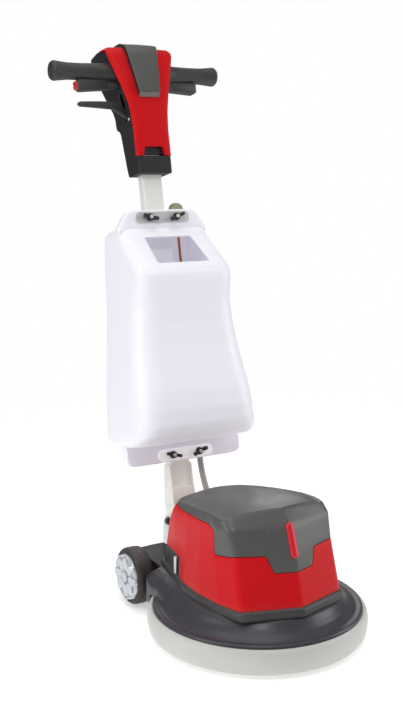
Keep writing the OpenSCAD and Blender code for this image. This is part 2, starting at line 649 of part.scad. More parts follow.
module grips() color([0.25, 0.25, 0.24]) on_pole() both_sides() difference() {
    at_handlebar() turn_x() polygon([
        [11.05, 72], [grip_d/2 + 1, 72], [grip_d/2 + 0.5, 100], [grip_d/2, 150],
        [grip_d/2 + 0.6, 185], [grip_d/2 + 2, bar_w/2 - 7], [grip_d/2 + 1.5, bar_w/2 - 3],
        [grip_d/2 - 2, bar_w/2], [0, bar_w/2], [0, bar_w/2 - 6], [11.05, bar_w/2 - 6]]);
    translate([60, 3, 1050]) cube([108, 34, 39]);
}
module switch_box() color([0.12, 0.12, 0.12]) on_pole() {
    translate([12, 18, 1006]) cube([20, 22, 34]);
    translate([18, 26, 1039.9]) cube([8, 6, 6]);
    translate([14, 39.9, 1010]) cube([16, 10, 8]);
}
module trigger_bar() color([0.2, 0.2, 0.2]) on_pole() difference() {
    union() {
        translate([0, 0, trigger_z]) bar_x(-84, 84, trigger_r);
        both_sides() {
            translate([64, 8, 1059]) cube([92, 24, 23]);
            translate([64, -6, 1059]) cube([12, 16, 14]);
        }
    }
    translate([-157, 12.7, 1062.7]) cube([12, 16.6, 15.6]);
}
module safety_button() color([0.8, 0.08, 0.1]) on_pole()
    translate([-162, 13, 1063]) cube([12, 16, 15]);
module tilt_lever() color([0.3, 0.3, 0.3]) on_pole() along_y(0.1, 9.9) difference() {
    union() {
        translate([lever_x, lever_z]) circle(r = 7);
        polygon([
            [-40.5, 998.5], [-31, 998], [-66, 1034], [-150, 1030], [-156, 1029],
            [-157, 1025.5], [-155, 1022.5], [-150, 1021.5], [-69, 1025.5]]);
    }
    translate([lever_x, lever_z]) circle(r = lever_pin_r + 0.03);
}

// ---------- tank ----------
// Side outline of the tank (y, z), and its right half seen along Y (x, z)
tank_side = [[-138, 262], [-115, 247], [-80, 242], [34, 242], [40, 250], [40, 722], [34, 731],
    [20, 735], [-40, 735], [-50, 722], [-60, 709], [-129, 642], [-143, 630], [-150, 617],
    [-149, 600], [-139, 555], [-134, 510], [-135, 460], [-142, 405], [-150, 360], [-153, 318],
    [-149, 284]];
tank_half = [[132, 240], [142, 244], [148, 253], [148, 270], [140, 364], [130, 463], [122, 553],
    [115, 700], [112, 722], [104, 733], [92, 737]];
module tank_solid() intersection() {
    along_x(-160, 160) polygon(tank_side);
    along_y(-170, 60) polygon(mirrored(tank_half));
}
module tank_hollow() intersection() {
    along_x(-160, 160) polygon(shrunk(tank_side, [-56, 488], 0.958, 0.984));
    along_y(-170, 60) polygon(shrunk(mirrored(tank_half), [0, 488], 0.972, 0.984));
}
module tank() color([0.93, 0.92, 0.95]) on_pole() difference() {
    union() {
        tank_solid();
        // Mounting plate, reaching below and above the tank
        along_y(-43, -18) polygon(mirrored([
            [122, 197], [134, 201], [143, 212], [147, 225], [148, 250], [115, 700], [113, 722],
            [108, 737], [84, 767], [74, 773]]));
    }
    difference() {
        tank_hollow();
        translate([-33, -20, 200]) cube([66, 100, 600]);
    }
    // Channel for the pole
    translate([-29, -16, 190]) cube([58, 80, 600]);
    // Opening in the sloping upper front
    translate([0, -94, 676]) rotate([44, 0, 0]) translate([0, 0, -14])
        linear_extrude(height = 40) polygon(mirrored([[66, -48], [60, 48]]));
    at_clamp_bolts() pin_y(-50, -10, 4.2);
    at_valve(190) cylinder(r = 10.05, h = 70);
    at_valve(700) cylinder(r = valve_rod_r + 0.4, h = 60);
    at_valve(764) cylinder(r = 18, h = 20, $fn = 48);
}
module tank_clamps() color([0.72, 0.72, 0.72]) on_pole() difference() {
    for (z = clamp_heights) {
        along_y(-46.1, -43.05) translate([0, z]) union() {
            square([114, 26], center = true);
            for (x = [-57, 57]) translate([x, 0]) circle(r = 13);
        }
        translate([-44, -17.95, z - 11]) cube([88, 4.9, 22]);
    }
    at_clamp_bolts() pin_y(-60, 0, 4.2);
}
module tank_u_bolts() color([0.76, 0.76, 0.76]) on_pole() {
    at_clamp_bolts() pin_y(-60, 17, bolt_r);
    for (z = clamp_heights) translate([-39.5, 13.3, z - 5.5]) cube([79, 6.5, 11]);
}
module wing_nuts() color([0.12, 0.12, 0.12]) on_pole()
    for (z = clamp_heights, x = [-clamp_bolt_x, clamp_bolt_x])
        translate([x, -46.15, z]) rotate([90, 0, 0]) difference() {
            union() {
                cylinder(r = 7.5, h = 9);
                rotate(x > 0 ? 20 : -15) for (wing = [-1, 1])
                    translate([wing*11.5, 0, 7]) cube([14, 4.5, 12], center = true);
            }
            translate([0, 0, -1]) pin(h = 30, r = bolt_r + 0.04);
        }
module valve_body() color([0.3, 0.3, 0.32]) on_pole() at_valve(0) difference() {
    union() {
        translate([0, 0, 241]) cylinder(r = 10, h = 20);
        translate([0, 0, 218]) cylinder(r = 13.5, h = 23.9);
        translate([0, 0, 196]) cylinder(r = 5, h = 23);
    }
    translate([0, 0, 190]) pin(h = 90, r = 3.5);
}
module valve_rod() color([0.7, 0.5, 0.25]) on_pole() at_valve(0) {
    translate([0, 0, 261.3]) cylinder(r1 = 7, r2 = 9, h = 7, $fn = 32);
    translate([0, 0, 268]) pin(h = 511, r = valve_rod_r);
}
module valve_knob() color([0.55, 0.52, 0.45]) on_pole() at_valve(770) difference() {
    rotate_extrude() polygon([
        [0, 0], [11, 0], [17, 5], [17, 10], [15, 16], [11, 20], [6, 22.5], [0, 23]]);
    translate([0, 0, -1]) pin(h = 10.2, r = valve_rod_r + 0.02);
}

// ---------- hose and cable ----------
// From the valve down into the deck's tail
module solution_hose() color([0.72, 0.73, 0.73]) difference() {
    bent(concat(
        [from_pole([valve_x, valve_y, 214])],
        bezier(from_pole([valve_x, valve_y, 200]), from_pole([valve_x, valve_y, 140]),
            [hose_x, hose_y, 190], [hose_x, hose_y, 120], 5),
        [[hose_x, hose_y, 70]]), 7);
    on_pole() at_valve(190) pin(h = 40, r = 5.05);
}
// Down inside the pole, out of its front and into the hood
module power_cable() color([0.1, 0.1, 0.1]) bent(concat(
    [for (p = [[4, 1004], [4, 104], [-6, 90], [-28, 82]]) from_pole([cable_x, p[0], p[1]])],
    [for (p = [[272, 172], [242, 154], [188, 150]]) [cable_x, p[0], p[1]]]), 3.6, 0.35);

deck();
bumper_ring();
handle_bracket();
bracket_bolts();
pivot_bolt();
axle();
hood_lower();
hood_top();
hood_insert();
hood_skirt();
hood_clips();
gearbox_housing();
gearbox_bolts();
ring_gear();
output_bearing();
shaft_seal();
motor_flange();
motor_housing();
motor_end_bell();
motor_bearings();
stator_core();
stator_windings();
capacitors();
rotor_core();
motor_shaft();
cooling_fan();
planet_carrier();
planet_pins();
drive_flange();
pad_driver();
floor_pad();
planet_gear_1();
planet_gear_2();
planet_gear_3();
tyre_left();
wheel_hub_left();
tyre_right();
wheel_hub_right();
pole();
pole_yoke();
head_housing();
head_cover();
head_visor();
handlebar_tube();
grips();
switch_box();
tank();
tank_clamps();
tank_u_bolts();
wing_nuts();
valve_body();
solution_hose();
power_cable();
trigger_bar();
safety_button();
tilt_lever();
lever_pin();
lock_rod();
valve_rod();
valve_knob();
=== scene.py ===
# A single-disc floor machine: a round cast deck on a pad, a two-shell hood over the motor, two
# wheels, and a leaning pole that carries a tank and a control head with two grips.
# The deck is centred on the origin and stands on z = 0; the hood's ridge faces -y, the wheels
# and the pole are towards +y, and right is +x. Shapes are in mm, in one of two frames: BASE is
# the row frame, POLE has x across, y out of the pole's back and z up along it.
import json
import math
import bpy
import bmesh
import numpy as np
from mathutils import Matrix, Vector


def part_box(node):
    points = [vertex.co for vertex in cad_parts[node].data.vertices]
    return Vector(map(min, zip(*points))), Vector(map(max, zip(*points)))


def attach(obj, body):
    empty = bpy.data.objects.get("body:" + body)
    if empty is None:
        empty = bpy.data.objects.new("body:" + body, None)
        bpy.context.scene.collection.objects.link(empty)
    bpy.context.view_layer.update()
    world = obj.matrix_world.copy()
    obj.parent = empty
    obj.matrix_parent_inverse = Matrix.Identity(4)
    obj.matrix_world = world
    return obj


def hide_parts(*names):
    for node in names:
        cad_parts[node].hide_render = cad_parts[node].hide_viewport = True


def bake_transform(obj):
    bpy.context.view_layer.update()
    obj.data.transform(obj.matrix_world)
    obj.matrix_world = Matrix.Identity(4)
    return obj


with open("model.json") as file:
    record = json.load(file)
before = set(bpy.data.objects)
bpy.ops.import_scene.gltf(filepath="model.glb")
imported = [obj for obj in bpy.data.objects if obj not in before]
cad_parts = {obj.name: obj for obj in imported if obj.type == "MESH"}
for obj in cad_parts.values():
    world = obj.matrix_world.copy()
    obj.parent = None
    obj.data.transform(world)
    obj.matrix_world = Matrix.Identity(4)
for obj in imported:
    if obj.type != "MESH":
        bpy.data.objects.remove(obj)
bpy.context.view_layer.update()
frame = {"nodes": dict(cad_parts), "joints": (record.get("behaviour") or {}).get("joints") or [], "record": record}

TURN = 2 * math.pi
vec = np.array

JOINTS = {joint["name"]: joint for joint in frame["joints"]}
PIVOT = Vector(JOINTS["handle_tilt"]["pos_m"])
POLE_UP = Vector(JOINTS["lock_lift"]["axis"]).normalized()
POLE_BACK = Vector((0.0, POLE_UP.z, -POLE_UP.y))
POLE = Matrix((
    (0.001, 0, 0, PIVOT.x),
    (0, POLE_BACK.y * 0.001, POLE_UP.y * 0.001, PIVOT.y),
    (0, POLE_BACK.z * 0.001, POLE_UP.z * 0.001, PIVOT.z),
    (0, 0, 0, 1),
))
BASE = Matrix.Scale(0.001, 4)
BODY = {
    node: body
    for body, nodes in frame["record"]["behaviour"]["bodies"].items()
    for node in nodes
}


def box_mm(node):
    low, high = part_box(node)
    return vec(low) * 1000, vec(high) * 1000


def pole_point(*point):
    """A point of the pole's frame, in mm in the row frame."""
    return vec(tuple(POLE @ Vector(point))) * 1000


# ------------------------------------------------------------------ curves and outlines
def smoothstep(t):
    t = np.clip(t, 0.0, 1.0)
    return t * t * (3 - 2 * t)


def interp(x, stations, values):
    return float(np.interp(x, stations, values))


def bezier(a, b, c, d, steps):
    points = []
    for k in range(steps + 1):
        t = k / steps
        points.append((1 - t) ** 3 * a + 3 * t * (1 - t) ** 2 * b
                      + 3 * t * t * (1 - t) * c + t ** 3 * d)
    return points


def corner(before, point, after, radius, steps):
    """The steps + 1 points that round one corner of a polyline."""
    back, ahead = before - point, after - point
    back_length, ahead_length = np.linalg.norm(back), np.linalg.norm(ahead)
    if back_length < 1e-9 or ahead_length < 1e-9 or radius <= 0:
        return [point] * (steps + 1)
    back, ahead = back / back_length, ahead / ahead_length
    angle = math.acos(max(-1, min(1, float(back @ ahead))))
    if math.pi - angle < 0.02:      # nearly straight: spread the points along the two edges
        reach = min(radius * 0.5, 0.45 * back_length, 0.45 * ahead_length)
        return [point + back * reach * (1 - 2 * k / steps) if k <= steps / 2
                else point + ahead * reach * (2 * k / steps - 1) for k in range(steps + 1)]
    reach = min(radius / math.tan(angle / 2), 0.48 * back_length, 0.48 * ahead_length)
    fitted = reach * math.tan(angle / 2)
    handle = 4 / 3 * math.tan((math.pi - angle) / 4) * fitted
    return bezier(point + back * reach, point + back * (reach - handle),
                  point + ahead * (reach - handle), point + ahead * reach, steps)


def rounded(points, radii, corner_steps=6, edge_steps=1, closed=True):
    """A polyline with its corners rounded; equal corner counts give equal point counts."""
    points = [vec(point, float) for point in points]
    count = len(points)
    if np.isscalar(radii):
        radii = [radii] * count
    corners = []
    for i, point in enumerate(points):
        if not closed and i in (0, count - 1):
            corners.append([point])
        else:
            after = points[(i + 1) % count]
            corners.append(corner(points[i - 1], point, after, radii[i], corner_steps))
    result = []
    for i in range(count):
        result += corners[i]
        if closed or i < count - 1:
            start, end = corners[i][-1], corners[(i + 1) % count][0]
            result += [start + (end - start) * k / edge_steps for k in range(1, edge_steps)]
    return result


def symmetric(half, radii, corner_steps, edge_steps):
    """A rounded outline from its +x half, whose two ends lie on x = 0."""
    points = half + [(-x, y) for x, y in half[-2:0:-1]]
    return rounded(points, radii + radii[-2:0:-1], corner_steps, edge_steps)


def rectangle(left, low, right, high, radius, corner_steps):
    corners = [(left, low), (right, low), (right, high), (left, high)]
    return rounded(corners, radius, corner_steps)


def circle(x, y, radius, count):
    return [(x + radius * math.cos(TURN * k / count), y + radius * math.sin(TURN * k / count))
            for k in range(count)]


def inset(ring, amount, centre=None):
    """The outline moved inwards: towards centre, or to the left of its run without one."""
    moved = []
    for i, point in enumerate(ring):
        along = ring[(i + 1) % len(ring)] - ring[i - 1]
        along = along / (np.linalg.norm(along) + 1e-9)
        inward = vec((-along[1], along[0]))
        if centre is not None and inward @ (vec(centre) - point) < 0:
            inward = -inward
        moved.append(point + inward * amount)
    return moved


def spline(points, steps):
    """Catmull-Rom through the points."""
    points = [2 * points[0] - points[1]] + points + [2 * points[-1] - points[-2]]
    result = []
    for i in range(1, len(points) - 2):
        a, b, c, d = points[i - 1:i + 3]
        for k in range(steps):
            t = k / steps
            result.append(0.5 * ((2 * b) + (-a + c) * t + (2 * a - 5 * b + 4 * c - d) * t * t
                                 + (-a + 3 * b - 3 * c + d) * t ** 3))
    result.append(points[-2])
    return result


# ------------------------------------------------------------------ parts: (vertices, faces)
def grid(rows, close_u=True, close_v=False, caps=(False, False)):
    """Faces between rows of equally many points."""
    vertices = [tuple(float(value) for value in point) for row in rows for point in row]
    across, count = len(rows[0]), len(rows)
    faces = []
    for j in range(count if close_v else count - 1):
        here, there = j * across, (j + 1) % count * across
        for i in range(across if close_u else across - 1):
            after = (i + 1) % across
            faces.append((here + i, here + after, there + after, there + i))
    if caps[0]:
        faces.append(tuple(range(across))[::-1])
    if caps[1]:
        faces.append(tuple(range((count - 1) * across, count * across)))
    return vertices, faces


def on_axis(axis, a, b, height):
    """(a, b) across the axis and height along it, as x, y, z."""
    return {"x": (height, a, b), "y": (a, height, b), "z": (a, b, height)}[axis]


def loft(axis, layers):
    """A solid through (outline, height) layers."""
    rows = [[on_axis(axis, a, b, height) for a, b in outline] for outline, height in layers]
    return grid(rows, caps=(True, True))


def prism(axis, outline, start, end):
    return loft(axis, [(outline, start), (outline, end)])


def revolve(profile, count, axis="z", closed=True, centre=(0, 0, 0)):
    """A profile of (radius, height) turned round an axis."""
    rows = []
    for k in range(count):
        cos, sin = math.cos(TURN * k / count), math.sin(TURN * k / count)
        rows.append([vec(centre) + on_axis(axis, radius * cos, radius * sin, height)
                     for radius, height in profile])
    return grid(rows, close_u=closed, close_v=True)


def moved(part, place):
    vertices, faces = part
    return [place(*vertex) for vertex in vertices], faces


def tube(path, radii, count):
    """A capped round tube, its section carried along the path without twist."""
    path = [vec(point, float) for point in path]
    if np.isscalar(radii):
        radii = [radii] * len(path)
    tangents = []
    for i in range(len(path)):
        step = path[min(i + 1, len(path) - 1)] - path[max(i - 1, 0)]
        tangents.append(step / np.linalg.norm(step))
    normal = vec((1.0, 0, 0)) if abs(tangents[0][0]) < 0.9 else vec((0, 1.0, 0))
    rows = []
    for point, tangent, radius in zip(path, tangents, radii):
        normal = normal - tangent * (normal @ tangent)
        normal /= np.linalg.norm(normal)
        side = np.cross(tangent, normal)
        rows.append([point + radius * (math.cos(TURN * k / count) * normal
                                       + math.sin(TURN * k / count) * side)
                     for k in range(count)])
    return grid(rows, caps=(True, True))


# ------------------------------------------------------------------ meshes and objects
def make_mesh(name, parts, space, weld=1e-6):
    """One welded mesh from parts in mm, moved to the row frame in metres."""
    bm = bmesh.new()
    for vertices, faces in parts:
        corners = [bm.verts.new(vertex) for vertex in vertices]
        for face in faces:
            try:
                bm.faces.new([corners[i] for i in face])
            except ValueError:      # the face is there already, or repeats a vertex
                pass
    bmesh.ops.transform(bm, matrix=space, verts=bm.verts)
    bmesh.ops.remove_doubles(bm, verts=bm.verts, dist=weld)
    bmesh.ops.dissolve_degenerate(bm, edges=bm.edges, dist=weld)
    bmesh.ops.recalc_face_normals(bm, faces=bm.faces)
    mesh = bpy.data.meshes.new(name)
    bm.to_mesh(mesh)
    bm.free()
    return mesh


def add_object(name, data):
    ob = bpy.data.objects.new(name, data)
    bpy.context.scene.collection.objects.link(ob)
    return ob


def build(name, parts, space, weld=1e-6):
    return add_object(name, make_mesh(name, parts, space, weld))


def cad_copy(node, flatten=True):
    """An object from a CAD node's welded mesh, with flat faces joined up if flatten is set."""
    bm = bmesh.new()
    bm.from_mesh(frame["nodes"][node].data)
    bmesh.ops.remove_doubles(bm, verts=bm.verts, dist=2e-6)
    if flatten:
        bmesh.ops.dissolve_limit(bm, angle_limit=math.radians(1.0), verts=bm.verts,
                                 edges=bm.edges)
    bmesh.ops.recalc_face_normals(bm, faces=bm.faces)
    mesh = bpy.data.meshes.new(node + "_m")
    bm.to_mesh(mesh)
    bm.free()
    return add_object(node + "_v", mesh)


def join(target, extra):
    """Adds the extra mesh to the target mesh and removes the extra."""
    bm = bmesh.new()
    bm.from_mesh(target)
    bm.from_mesh(extra)
    bm.to_mesh(target)
    bm.free()
    bpy.data.meshes.remove(extra)


def modify(ob, kind, **settings):
    modifier = ob.modifiers.new(kind.title(), kind)
    for key, value in settings.items():
        setattr(modifier, key, value)


def bake(ob):
    """Turns the modifiers into mesh."""
    depsgraph = bpy.context.evaluated_depsgraph_get()
    depsgraph.update()
    mesh = bpy.data.meshes.new_from_object(ob.evaluated_get(depsgraph))
    old = ob.data
    ob.modifiers.clear()
    ob.data = mesh
    bpy.data.meshes.remove(old)


def bevel_edges(ob, width, segments, limit, miter="MITER_SHARP"):
    modify(ob, "BEVEL", width=width * 0.001, segments=segments, limit_method="ANGLE",
           angle_limit=math.radians(limit), miter_outer=miter)
    bake(ob)


def soften(ob, voxel, iterations):
    """Remeshes and smooths, so that inner corners fill like a casting's."""
    modify(ob, "REMESH", mode="VOXEL", voxel_size=voxel)
    modify(ob, "SMOOTH", factor=0.5, iterations=iterations)
    bake(ob)


def subtract(ob, *parts_list, space=POLE):
    """Cuts each part out of the object."""
    cutters = [build("cutter", [part], space) for part in parts_list]
    for cutter in cutters:
        modify(ob, "BOOLEAN", operation="DIFFERENCE", solver="EXACT", object=cutter)
    bake(ob)
    for cutter in cutters:
        mesh = cutter.data
        bpy.data.objects.remove(cutter)
        bpy.data.meshes.remove(mesh)


def finish(ob, body, *materials, slot=None, angle=40, bevel=0, segments=3, limit=40,
           miter="MITER_SHARP", replace=True):
    """Gives a piece its materials, broken edges and shading, and hands it over.

    The piece stands for the CAD node it is named after. slot is not used.
    """
    ob.data.materials.clear()
    for name in materials:
        ob.data.materials.append(MATERIALS[name])
    if bevel:
        bevel_edges(ob, bevel, segments, limit, miter)
    mesh = ob.data
    mesh.polygons.foreach_set("use_smooth", [True] * len(mesh.polygons))
    if angle:
        mesh.set_sharp_from_angle(angle=math.radians(angle))
    if body:
        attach(ob, body)
    if replace:
        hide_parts(ob.name.removesuffix("_v"))


def paint(ob, choose):
    """Sets each face's material index from its centre in the pole's frame and the face."""
    to_pole = POLE.inverted()
    for face in ob.data.polygons:
        face.material_index = choose(to_pole @ face.center, face)


# ------------------------------------------------------------------ shader helpers
def empty_tree(owner):
    owner.use_nodes = True
    owner.node_tree.nodes.clear()
    return owner.node_tree


def feed(node, inputs):
    """Sets a node's inputs: an output socket is linked, anything else is a value."""
    for socket, value in inputs.items():
        if isinstance(value, bpy.types.NodeSocket):
            node.id_data.links.new(value, node.inputs[socket])
        else:
            node.inputs[socket].default_value = value


def add_node(tree, kind, inputs=None, **settings):
    node = tree.nodes.new("ShaderNode" + kind)
    for key, value in settings.items():
        setattr(node, key, value)
    feed(node, inputs or {})
    return node


def noise(tree, vector, **inputs):
    return add_node(tree, "TexNoise", {"Vector": vector, **inputs}).outputs[0]


def remap(tree, value, low=0.0, high=1.0, to_low=0.0, to_high=1.0, **settings):
    inputs = {0: value, 1: low, 2: high, 3: to_low, 4: to_high}
    return add_node(tree, "MapRange", inputs, **settings).outputs[0]


def mix_colour(tree, factor, first, second):
    inputs = {0: factor, 6: first, 7: second}       # 6 and 7 are the colour sockets
    return add_node(tree, "Mix", inputs, data_type="RGBA").outputs[2]


def calculate(tree, operation, first, second):
    return add_node(tree, "Math", {0: first, 1: second}, operation=operation).outputs[0]


def linear(colour):
    """0-255 display colour to linear."""
    return tuple(((v / 255) / 12.92) if v / 255 <= 0.04045
                 else ((v / 255 + 0.055) / 1.055) ** 2.4 for v in colour)


def material(name, colour, rough, variation, patch_scale, grain_scale, bump, metal=0.0,
             bump_depth=0.00015, wear=0.0, wear_colour=None, rough_spread=0.10, dust=0.0,
             specular=0.5, stretch=(1, 1, 1), subsurface=0.0, speck=None, sheen=0.0, glow=0.0):
    """Colour patches, fine grain, rougher patches, scuffed edges, settled dust and painted glow."""
    mat = bpy.data.materials.new(name)
    tree = empty_tree(mat)
    output = add_node(tree, "OutputMaterial")
    shader = add_node(tree, "BsdfPrincipled")
    feed(output, {0: shader.outputs[0]})
    place = add_node(tree, "TexCoord").outputs["Object"]
    mapped = add_node(tree, "Mapping", {0: place, "Scale": stretch}).outputs[0]
    base = vec(linear(colour), float)
    patches = noise(tree, mapped, Scale=patch_scale, Detail=4, Roughness=0.6)
    shade = mix_colour(tree, patches, (*np.clip(base * (1 - variation), 0, 1), 1),
                       (*np.clip(base * (1 + variation), 0, 1), 1))
    if speck:
        speck_colour, speck_scale, low, high = speck
        amount = remap(tree, noise(tree, place, Scale=speck_scale, Detail=2), low, high)
        shade = mix_colour(tree, amount, shade, (*linear(speck_colour), 1))
    if wear:
        pointiness = add_node(tree, "NewGeometry").outputs["Pointiness"]
        edges = remap(tree, pointiness, 0.52, 0.62)
        scuffs = noise(tree, place, Scale=220, Detail=3)
        amount = calculate(tree, "MULTIPLY", calculate(tree, "MULTIPLY", edges, scuffs), wear)
        worn = linear(wear_colour) if wear_colour else np.clip(base * 1.6 + 0.05, 0, 1)
        shade = mix_colour(tree, amount, shade, (*worn, 1))
    rougher = noise(tree, mapped, Scale=patch_scale * 2.7, Detail=5)
    roughness = remap(tree, rougher, to_low=max(0.02, rough - rough_spread),
                      to_high=min(1, rough + rough_spread))
    if dust:
        normal = add_node(tree, "NewGeometry").outputs["Normal"]
        upward = add_node(tree, "SeparateXYZ", {0: normal}).outputs[2]
        settled = calculate(tree, "MULTIPLY", remap(tree, upward, 0.55, 1.0), rougher)
        amount = calculate(tree, "MULTIPLY", settled, dust)
        shade = mix_colour(tree, amount, shade, (0.42, 0.40, 0.38, 1))
        roughness = calculate(tree, "ADD", roughness, amount)
    grain = noise(tree, mapped, Scale=grain_scale, Detail=3)
    relief = add_node(tree, "Bump", {"Strength": bump, "Distance": bump_depth, "Height": grain})
    shader.inputs["Base Color"].default_value = (*base, 1)
    feed(shader, {
        "Base Color": shade,
        "Roughness": roughness,
        "Normal": relief.outputs[0],
        "Metallic": metal,
        "Specular IOR Level": specular,
        "Coat Roughness": 0.12,
        "Sheen Weight": sheen,
    })
    if subsurface:
        feed(shader, {"Subsurface Weight": subsurface, "Subsurface Scale": 1.0,
                      "Subsurface Radius": (0.012, 0.012, 0.013)})
    if glow:        # painted glow: emission that lifts the shaded sides
        feed(shader, {"Emission Color": (*base, 1), "Emission Strength": glow})
    mat.diffuse_color = (*base, 1)
    return mat


def paint_tail_shade(mat):
    """Paints shade on the deck behind its crown: a darker colour there, and less gloss."""
    tree = mat.node_tree
    shader = tree.nodes["Principled BSDF"]
    position = add_node(tree, "NewGeometry").outputs["Position"]
    y = add_node(tree, "SeparateXYZ", {0: position}).outputs[1]
    behind = remap(tree, y, 0.165, 0.20, interpolation_type="SMOOTHSTEP")
    front_colour = shader.inputs["Base Color"].links[0].from_socket
    feed(shader, {
        # painted shade: the tail's colour is mixed towards near-black
        "Base Color": mix_colour(tree, behind, front_colour, (0.016, 0.014, 0.015, 1)),
        "Specular IOR Level": remap(tree, behind, to_low=0.42, to_high=0.10),
    })


# ------------------------------------------------------------------ materials
# name, display colour, roughness, colour variation, patch scale, grain scale, bump, the rest;
# a speck is its colour, its noise scale and the noise values where it starts and is full
FINISHES = [
    ("deck_paint", (58, 58, 64), 0.33, 0.06, 18, 420, 0.14,
     dict(bump_depth=0.0003, wear=0.3, wear_colour=(110, 110, 114), dust=0.06, specular=0.42,
          rough_spread=0.05)),
    ("ring_rubber", (200, 199, 195), 0.5, 0.04, 14, 900, 0.12,
     dict(bump_depth=0.0002, rough_spread=0.08)),
    ("zinc_steel", (222, 224, 222), 0.36, 0.10, 60, 1600, 0.12,
     dict(metal=0.40, bump_depth=0.00012, wear=0.25)),
    ("hood_red", (206, 20, 26), 0.40, 0.05, 12, 2600, 0.10,
     dict(specular=0.14, bump_depth=0.00010, wear=0.25, wear_colour=(240, 110, 105),
          rough_spread=0.06)),
    ("hood_grey", (84, 84, 81), 0.36, 0.05, 16, 2200, 0.22,
     dict(bump_depth=0.00016, wear=0.25, wear_colour=(150, 150, 146), rough_spread=0.07)),
    ("black_plastic", (29, 28, 30), 0.48, 0.08, 20, 2200, 0.22,
     dict(bump_depth=0.00016, wear=0.3, wear_colour=(96, 94, 94))),
    ("button_red", (214, 24, 44), 0.35, 0.06, 40, 2400, 0.1,
     dict(wear=0.3, wear_colour=(250, 130, 130))),
    ("grip_plastic", (56, 56, 54), 0.48, 0.07, 24, 1500, 0.30,
     dict(bump_depth=0.0002, wear=0.2, rough_spread=0.08)),
    # pole_paint carries a painted glow: emission that lifts the pole's shaded sides
    ("pole_paint", (222, 222, 216), 0.42, 0.04, 10, 1400, 0.10,
     dict(metal=0.05, bump_depth=0.0001, rough_spread=0.06, glow=0.17)),
    # tank_white: subsurface is the plastic's translucency; its glow is painted, lifting the shaded sides
    ("tank_white", (240, 238, 246), 0.40, 0.015, 8, 700, 0.10,
     dict(bump_depth=0.00025, rough_spread=0.07, subsurface=0.25, glow=0.12)),
    ("cast_aluminium", (150, 152, 154), 0.5, 0.1, 50, 900, 0.4,
     dict(metal=1.0, bump_depth=0.0004)),
    ("machine_steel", (140, 140, 142), 0.35, 0.08, 60, 2000, 0.15,
     dict(metal=1.0, stretch=(1, 1, 8))),
    ("bearing_steel", (200, 200, 202), 0.18, 0.05, 80, 2500, 0.05, dict(metal=1.0)),
    ("seal_rubber", (30, 30, 30), 0.7, 0.1, 60, 1800, 0.3, {}),
    ("lamination", (110, 110, 114), 0.4, 0.12, 30, 1400, 0.5,
     dict(metal=1.0, bump_depth=0.0003, stretch=(1, 1, 30))),
    ("copper", (184, 108, 60), 0.35, 0.15, 90, 900, 0.6,
     dict(metal=1.0, bump_depth=0.0005, stretch=(8, 8, 1))),
    ("can_metal", (192, 194, 198), 0.25, 0.06, 50, 1500, 0.1, dict(metal=1.0)),
    ("fan_plastic", (44, 48, 54), 0.5, 0.08, 30, 1500, 0.25, {}),
    ("driver_plastic", (196, 160, 60), 0.5, 0.06, 20, 1300, 0.25, {}),
    ("pad_fibre", (222, 220, 214), 0.95, 0.10, 120, 700, 1.0,
     dict(bump_depth=0.002, sheen=0.4, speck=((190, 187, 178), 520, 0.55, 0.8))),
    ("tyre_rubber", (44, 38, 38), 0.62, 0.12, 40, 1200, 0.35,
     dict(bump_depth=0.0003, dust=0.35, speck=((84, 72, 68), 60, 0.55, 0.95))),
    ("hub_silver", (196, 200, 203), 0.32, 0.06, 30, 1800, 0.12, dict(metal=0.55, wear=0.2)),
    ("brass_rod", (176, 118, 62), 0.32, 0.08, 60, 2000, 0.1,
     dict(metal=0.9, stretch=(1, 1, 0.2))),
    ("knob_tan", (148, 140, 120), 0.5, 0.08, 40, 1700, 0.25, dict(wear=0.3)),
    ("hose_grey", (168, 166, 160), 0.4, 0.06, 24, 1300, 0.15,
     dict(specular=0.6, speck=((140, 126, 110), 30, 0.55, 0.9))),
    ("cable_black", (26, 26, 27), 0.5, 0.1, 40, 1800, 0.3, {}),
    # white_plate carries a painted glow that makes it brighter than its lighting
    ("white_plate", (250, 250, 251), 0.35, 0.01, 30, 1500, 0.08, dict(glow=0.30)),
    ("visor_band", (112, 106, 102), 0.4, 0.05, 30, 2200, 0.2, {}),
    ("chrome", (225, 226, 228), 0.12, 0.03, 60, 2500, 0.04, dict(metal=1.0)),
    ("skirt_rubber", (58, 58, 58), 0.5, 0.08, 26, 1500, 0.3, dict(dust=0.2)),
]
MATERIALS = {row[0]: material(*row[:-1], **row[-1]) for row in FINISHES}
# painted shade on the deck's tail
paint_tail_shade(MATERIALS["deck_paint"])


def slot_of(node):
    names = frame["nodes"][node].data.materials
    return names[0].name.split(".")[0] if len(names) and names[0] else ""


for node, cad in frame["nodes"].items():
    for material_slot in cad.material_slots:
        material_slot.link = "OBJECT"
        material_slot.material = MATERIALS.get(slot_of(node), MATERIALS["black_plastic"])

# ------------------------------------------------------------------ bumper ring
RIM = box_mm("deck")[1][0]                  # radius of the deck's rim
RING_RADIUS = box_mm("bumper_ring")[1][0]


def bumper_ring():
    outer, inner = RING_RADIUS, RIM
    profile = rounded(
        [(inner + 0.1, 61.4), (inner + 3.6, 61.8), (outer - 3.2, 57.2), (outer - 0.7, 49),
         (outer, 40), (outer - 0.6, 30), (outer - 2.6, 20.5), (outer - 5.8, 13),
         (outer - 8.8, 9.6), (inner - 0.6, 10.6), (inner - 0.7, 30), (inner + 0.1, 49.8)],
        [0.6, 1.6, 4, 12, 12, 12, 10, 6, 1.5, 0.8, 1, 0.5], 5, 2)
    ring = build("bumper_ring_v", [revolve(profile, 256)], BASE)
    finish(ring, "base", "ring_rubber", angle=60)


bumper_ring()

# ------------------------------------------------------------------ deck
# the crown's section under the wheel lobes: radii and heights
CROWN_RADII = [0, 146, 158.5, 168.5, 177, 186, 197, 204.5, 209, 213.5, 217.6, 219]
CROWN_HEIGHTS = [100, 100, 98.4, 92.6, 83, 75, 68.6, 65.6, 66.6, 68, 66, 60]
